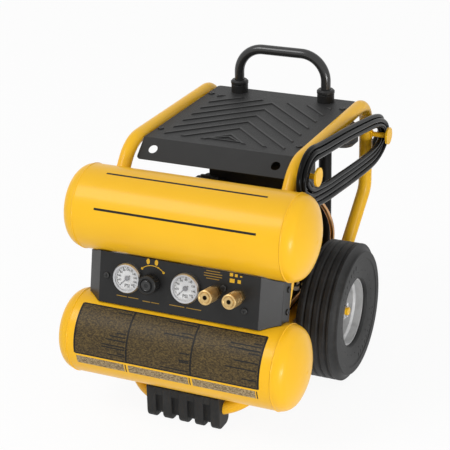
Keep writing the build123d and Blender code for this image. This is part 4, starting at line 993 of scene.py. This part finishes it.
BAR_ARCS = ((24, 84, 9), (198, 262, 10))    # arcs of raised bars: from, to in degrees, and how many
BAR_R = 0.096
BAR_SIZE = (0.0016, 0.0045)     # half width and half height
PIPS = 24
PIP_START = 4            # degrees
PIP_R = 0.081
PIP_SIZE = (0.0009, 0.0009)
# Height over the sidewall, shares of a mark's half height and half width, and squareness.
MARK_SECTIONS = ((-0.0004, 1, 1, 6), (0.0002, 1, 1, 6), (0.0006, 0.8, 0.7, 5))
MARK_POINTS = 16


def sidewall_marks():
    """Raised bars and pips moulded into the tyres' outer sidewalls."""
    spots = [(low + (high - low) * k / (count - 1), BAR_R, BAR_SIZE)
             for low, high, count in BAR_ARCS for k in range(count)]
    spots += [(PIP_START + 360 / PIPS * k, PIP_R, PIP_SIZE) for k in range(PIPS)]
    for side, name in ((1, "right"), (-1, "left")):
        tyre = frame["nodes"][name + "_tyre"]
        hub = Vector(joint(name + "_wheel_spin")["pos_m"])
        marks = []
        for angle, radius, (wide, tall) in spots:
            spoke = Vector((0, -cos(radians(angle)), sin(radians(angle))))
            outside = Vector((side, hub.y, hub.z)) + spoke * radius
            hit, place, normal, _ = tyre.ray_cast(outside, Vector((-side, 0, 0)))
            if not hit:
                continue
            sections = [(rise, tall_share * tall, wide_share * wide, square)
                        for rise, tall_share, wide_share, square in MARK_SECTIONS]
            turn = frame_along(place, normal, spoke)
            marks.append(lofted("mark", sections, turn, TYRE_RUBBER, MARK_POINTS))
        join(name + "_sidewall_marks", marks, name + "_wheel")


# ---------------------------------------------------------------- films on the receivers
TANK_R = 0.0762          # half of the receivers' 6 inch tube


def tank_axis(node):
    """The middle of a receiver's axis, which runs through the crown of its right head."""
    crown = max((v.co for v in frame["nodes"][node].data.vertices), key=lambda place: place.x)
    return Vector((0, crown.y, crown.z))


def tank_film(name, node, x_range, angle_range, material, steps=24, lift=FILM):
    """Thin film on a receiver's barrel; angles run from the top down the front, in degrees."""
    axis = tank_axis(node)
    start, end = angle_range
    points, outward = [], []
    for k in range(steps + 1):
        angle = radians(start + (end - start) * k / steps)
        normal = Vector((0, -sin(angle), cos(angle)))
        for x in x_range:
            points.append(Vector((x, axis.y, axis.z)) + normal * TANK_R)
            outward.append(normal)
    return mesh_piece(name, *slab(points, ladder(steps), outward, lift), material)


STRIPE_HALF = 0.152
STRIPE_ANGLES = (14.3, 69.1)    # degrees from the top down the front
STRIPE_WIDTH = 3.0       # degrees


def tank_stripes():
    """Two plain pinstripes along the upper receiver."""
    stripes = []
    for angle in STRIPE_ANGLES:
        edges = (angle - STRIPE_WIDTH / 2, angle + STRIPE_WIDTH / 2)
        stripes.append(tank_film("stripe", "upper_tank", (-STRIPE_HALF, STRIPE_HALF), edges, BLACK_INK, 4))
    join("tank_stripes", stripes, CHASSIS)


SCUFF_COLUMNS = (-0.179, -0.076, 0.048, 0.174)
SCUFF_ANGLES = (24.5, 96.0)
SCUFF_GAP = 0.0012       # from a film's side to the middle of the rule beside it
STRIP_ANGLES = (100.0, 113.0)
STRIP_LEFT, STRIP_RIGHT = 0.002, 0.006  # gaps at a strip's ends
STRIP_RULE = (0.004, 0.002)     # sides of the rule at the strip's right end
RULE_HALF = 0.0018
EDGE_RULE_HALF = 1.0     # degrees, as the next two are
FINE_RULE_HALF = 0.8
FINE_RULE_INSET = 4
FINE_RULES = 8
FINE_RULE_SHARES = (0.12, 0.5)  # of its column, from the right, where a fine rule starts
FINE_RULE_GAP = 0.003
OVER_FILM = 1.5 * FILM
FILM_SEED = 5


def scuff_films():
    """Plain speckled films on the lower receiver, in three columns with a paler strip below each."""
    tank = "lower_tank"
    columns = list(zip(SCUFF_COLUMNS, SCUFF_COLUMNS[1:]))
    top, bottom = SCUFF_ANGLES
    films, rules, strips = [], [], []
    for left, right in columns:
        ends = (left + SCUFF_GAP, right - SCUFF_GAP)
        films.append(tank_film("film", tank, ends, SCUFF_ANGLES, FILM_BROWN))
        ends = (left + STRIP_LEFT, right - STRIP_RIGHT)
        strips.append(tank_film("strip", tank, ends, STRIP_ANGLES, FILM_TAN, 6))
        ends = [right - gap for gap in STRIP_RULE]
        rules.append(tank_film("rule", tank, ends, STRIP_ANGLES, BLACK_INK, 6))
    for x in SCUFF_COLUMNS:
        rules.append(tank_film("rule", tank, (x - RULE_HALF, x + RULE_HALF), SCUFF_ANGLES, BLACK_INK))
    for angle in SCUFF_ANGLES:
        edges = (angle - EDGE_RULE_HALF, angle + EDGE_RULE_HALF)
        ends = (SCUFF_COLUMNS[0], SCUFF_COLUMNS[-1])
        rules.append(tank_film("rule", tank, ends, edges, BLACK_INK, 2, OVER_FILM))
    dice = random.Random(FILM_SEED)
    for left, right in columns:
        for _ in range(FINE_RULES):
            angle = top + FINE_RULE_INSET + dice.random() * (bottom - top - 2 * FINE_RULE_INSET)
            edges = (angle - FINE_RULE_HALF, angle + FINE_RULE_HALF)
            ends = (right - (right - left) * dice.uniform(*FINE_RULE_SHARES), right - FINE_RULE_GAP)
            rules.append(tank_film("rule", tank, ends, edges, BLACK_INK, 2, OVER_FILM))
    join("scuff_films", films, CHASSIS)
    join("scuff_strips", strips, CHASSIS)
    join("scuff_rules", rules, CHASSIS)


# ---------------------------------------------------------------- stage
FILL_LIGHT = 0.58
FLOOR_GLOW = 0.93        # share of plain white in the floor that the camera sees; the rest keeps the shadow
FLOOR_HALF = 8
WHITE = (1, 1, 1, 1)


def lay_floor():
    corners = [(-FLOOR_HALF, -FLOOR_HALF, 0), (FLOOR_HALF, -FLOOR_HALF, 0), (FLOOR_HALF, FLOOR_HALF, 0),
               (-FLOOR_HALF, FLOOR_HALF, 0)]
    shade = Shader("floor_white", Base_Color=grey(0.9), Roughness=0.6, Specular_IOR_Level=0.1)
    lit = Outputs(shade, shade.surface)["BSDF"]
    plain = shade.node("ShaderNodeEmission", values={"Color": WHITE})["Emission"]
    shade.feed(shade.tree.nodes["Material Output"].inputs["Surface"],
               shade.blend(shade.seen() * FLOOR_GLOW, lit, plain))
    mesh_piece("floor", corners, [(0, 1, 2, 3)], shade.material)


def light_world():
    """Soft even light; what the camera, shine and clear pieces see of it is plain white."""
    world = bpy.data.worlds.new("studio")
    bpy.context.scene.world = world
    world.use_nodes = True
    sky = Graph(world.node_tree)
    fill = sky.node("ShaderNodeBackground", values={"Color": WHITE, "Strength": FILL_LIGHT})["Background"]
    plain = sky.node("ShaderNodeBackground", values={"Color": WHITE})["Background"]
    sky.feed(sky.tree.nodes["World Output"].inputs["Surface"], sky.blend(sky.seen(), fill, plain))


place_camera()
light_world()
lay_floor()
soft_light("key", place=(-1.5, -1.9, 2.9), target=(0, 0, 0.3), size=(1.5, 1.5), power=46)
soft_light("side", place=(2.1, -1.5, 0.26), target=(0, 0, 0.24), size=(0.9, 0.44), power=24)
cord = make_cord()
dress_nodes()
tank_stripes()
scuff_films()
dial_print("tank_dial_print", joint("tank_needle_turn")["pos_m"], top_number=200)
dial_print("outlet_dial_print", joint("outlet_needle_turn")["pos_m"], top_number=160)
panel_print()
coupler_sleeves()
knob_trim()
plate_triangle()
peg_welds()
copper_pipe()
sidewall_marks()
plug, prongs = make_plug()
relief = make_relief()

bpy.context.scene.view_settings.view_transform = "Standard"
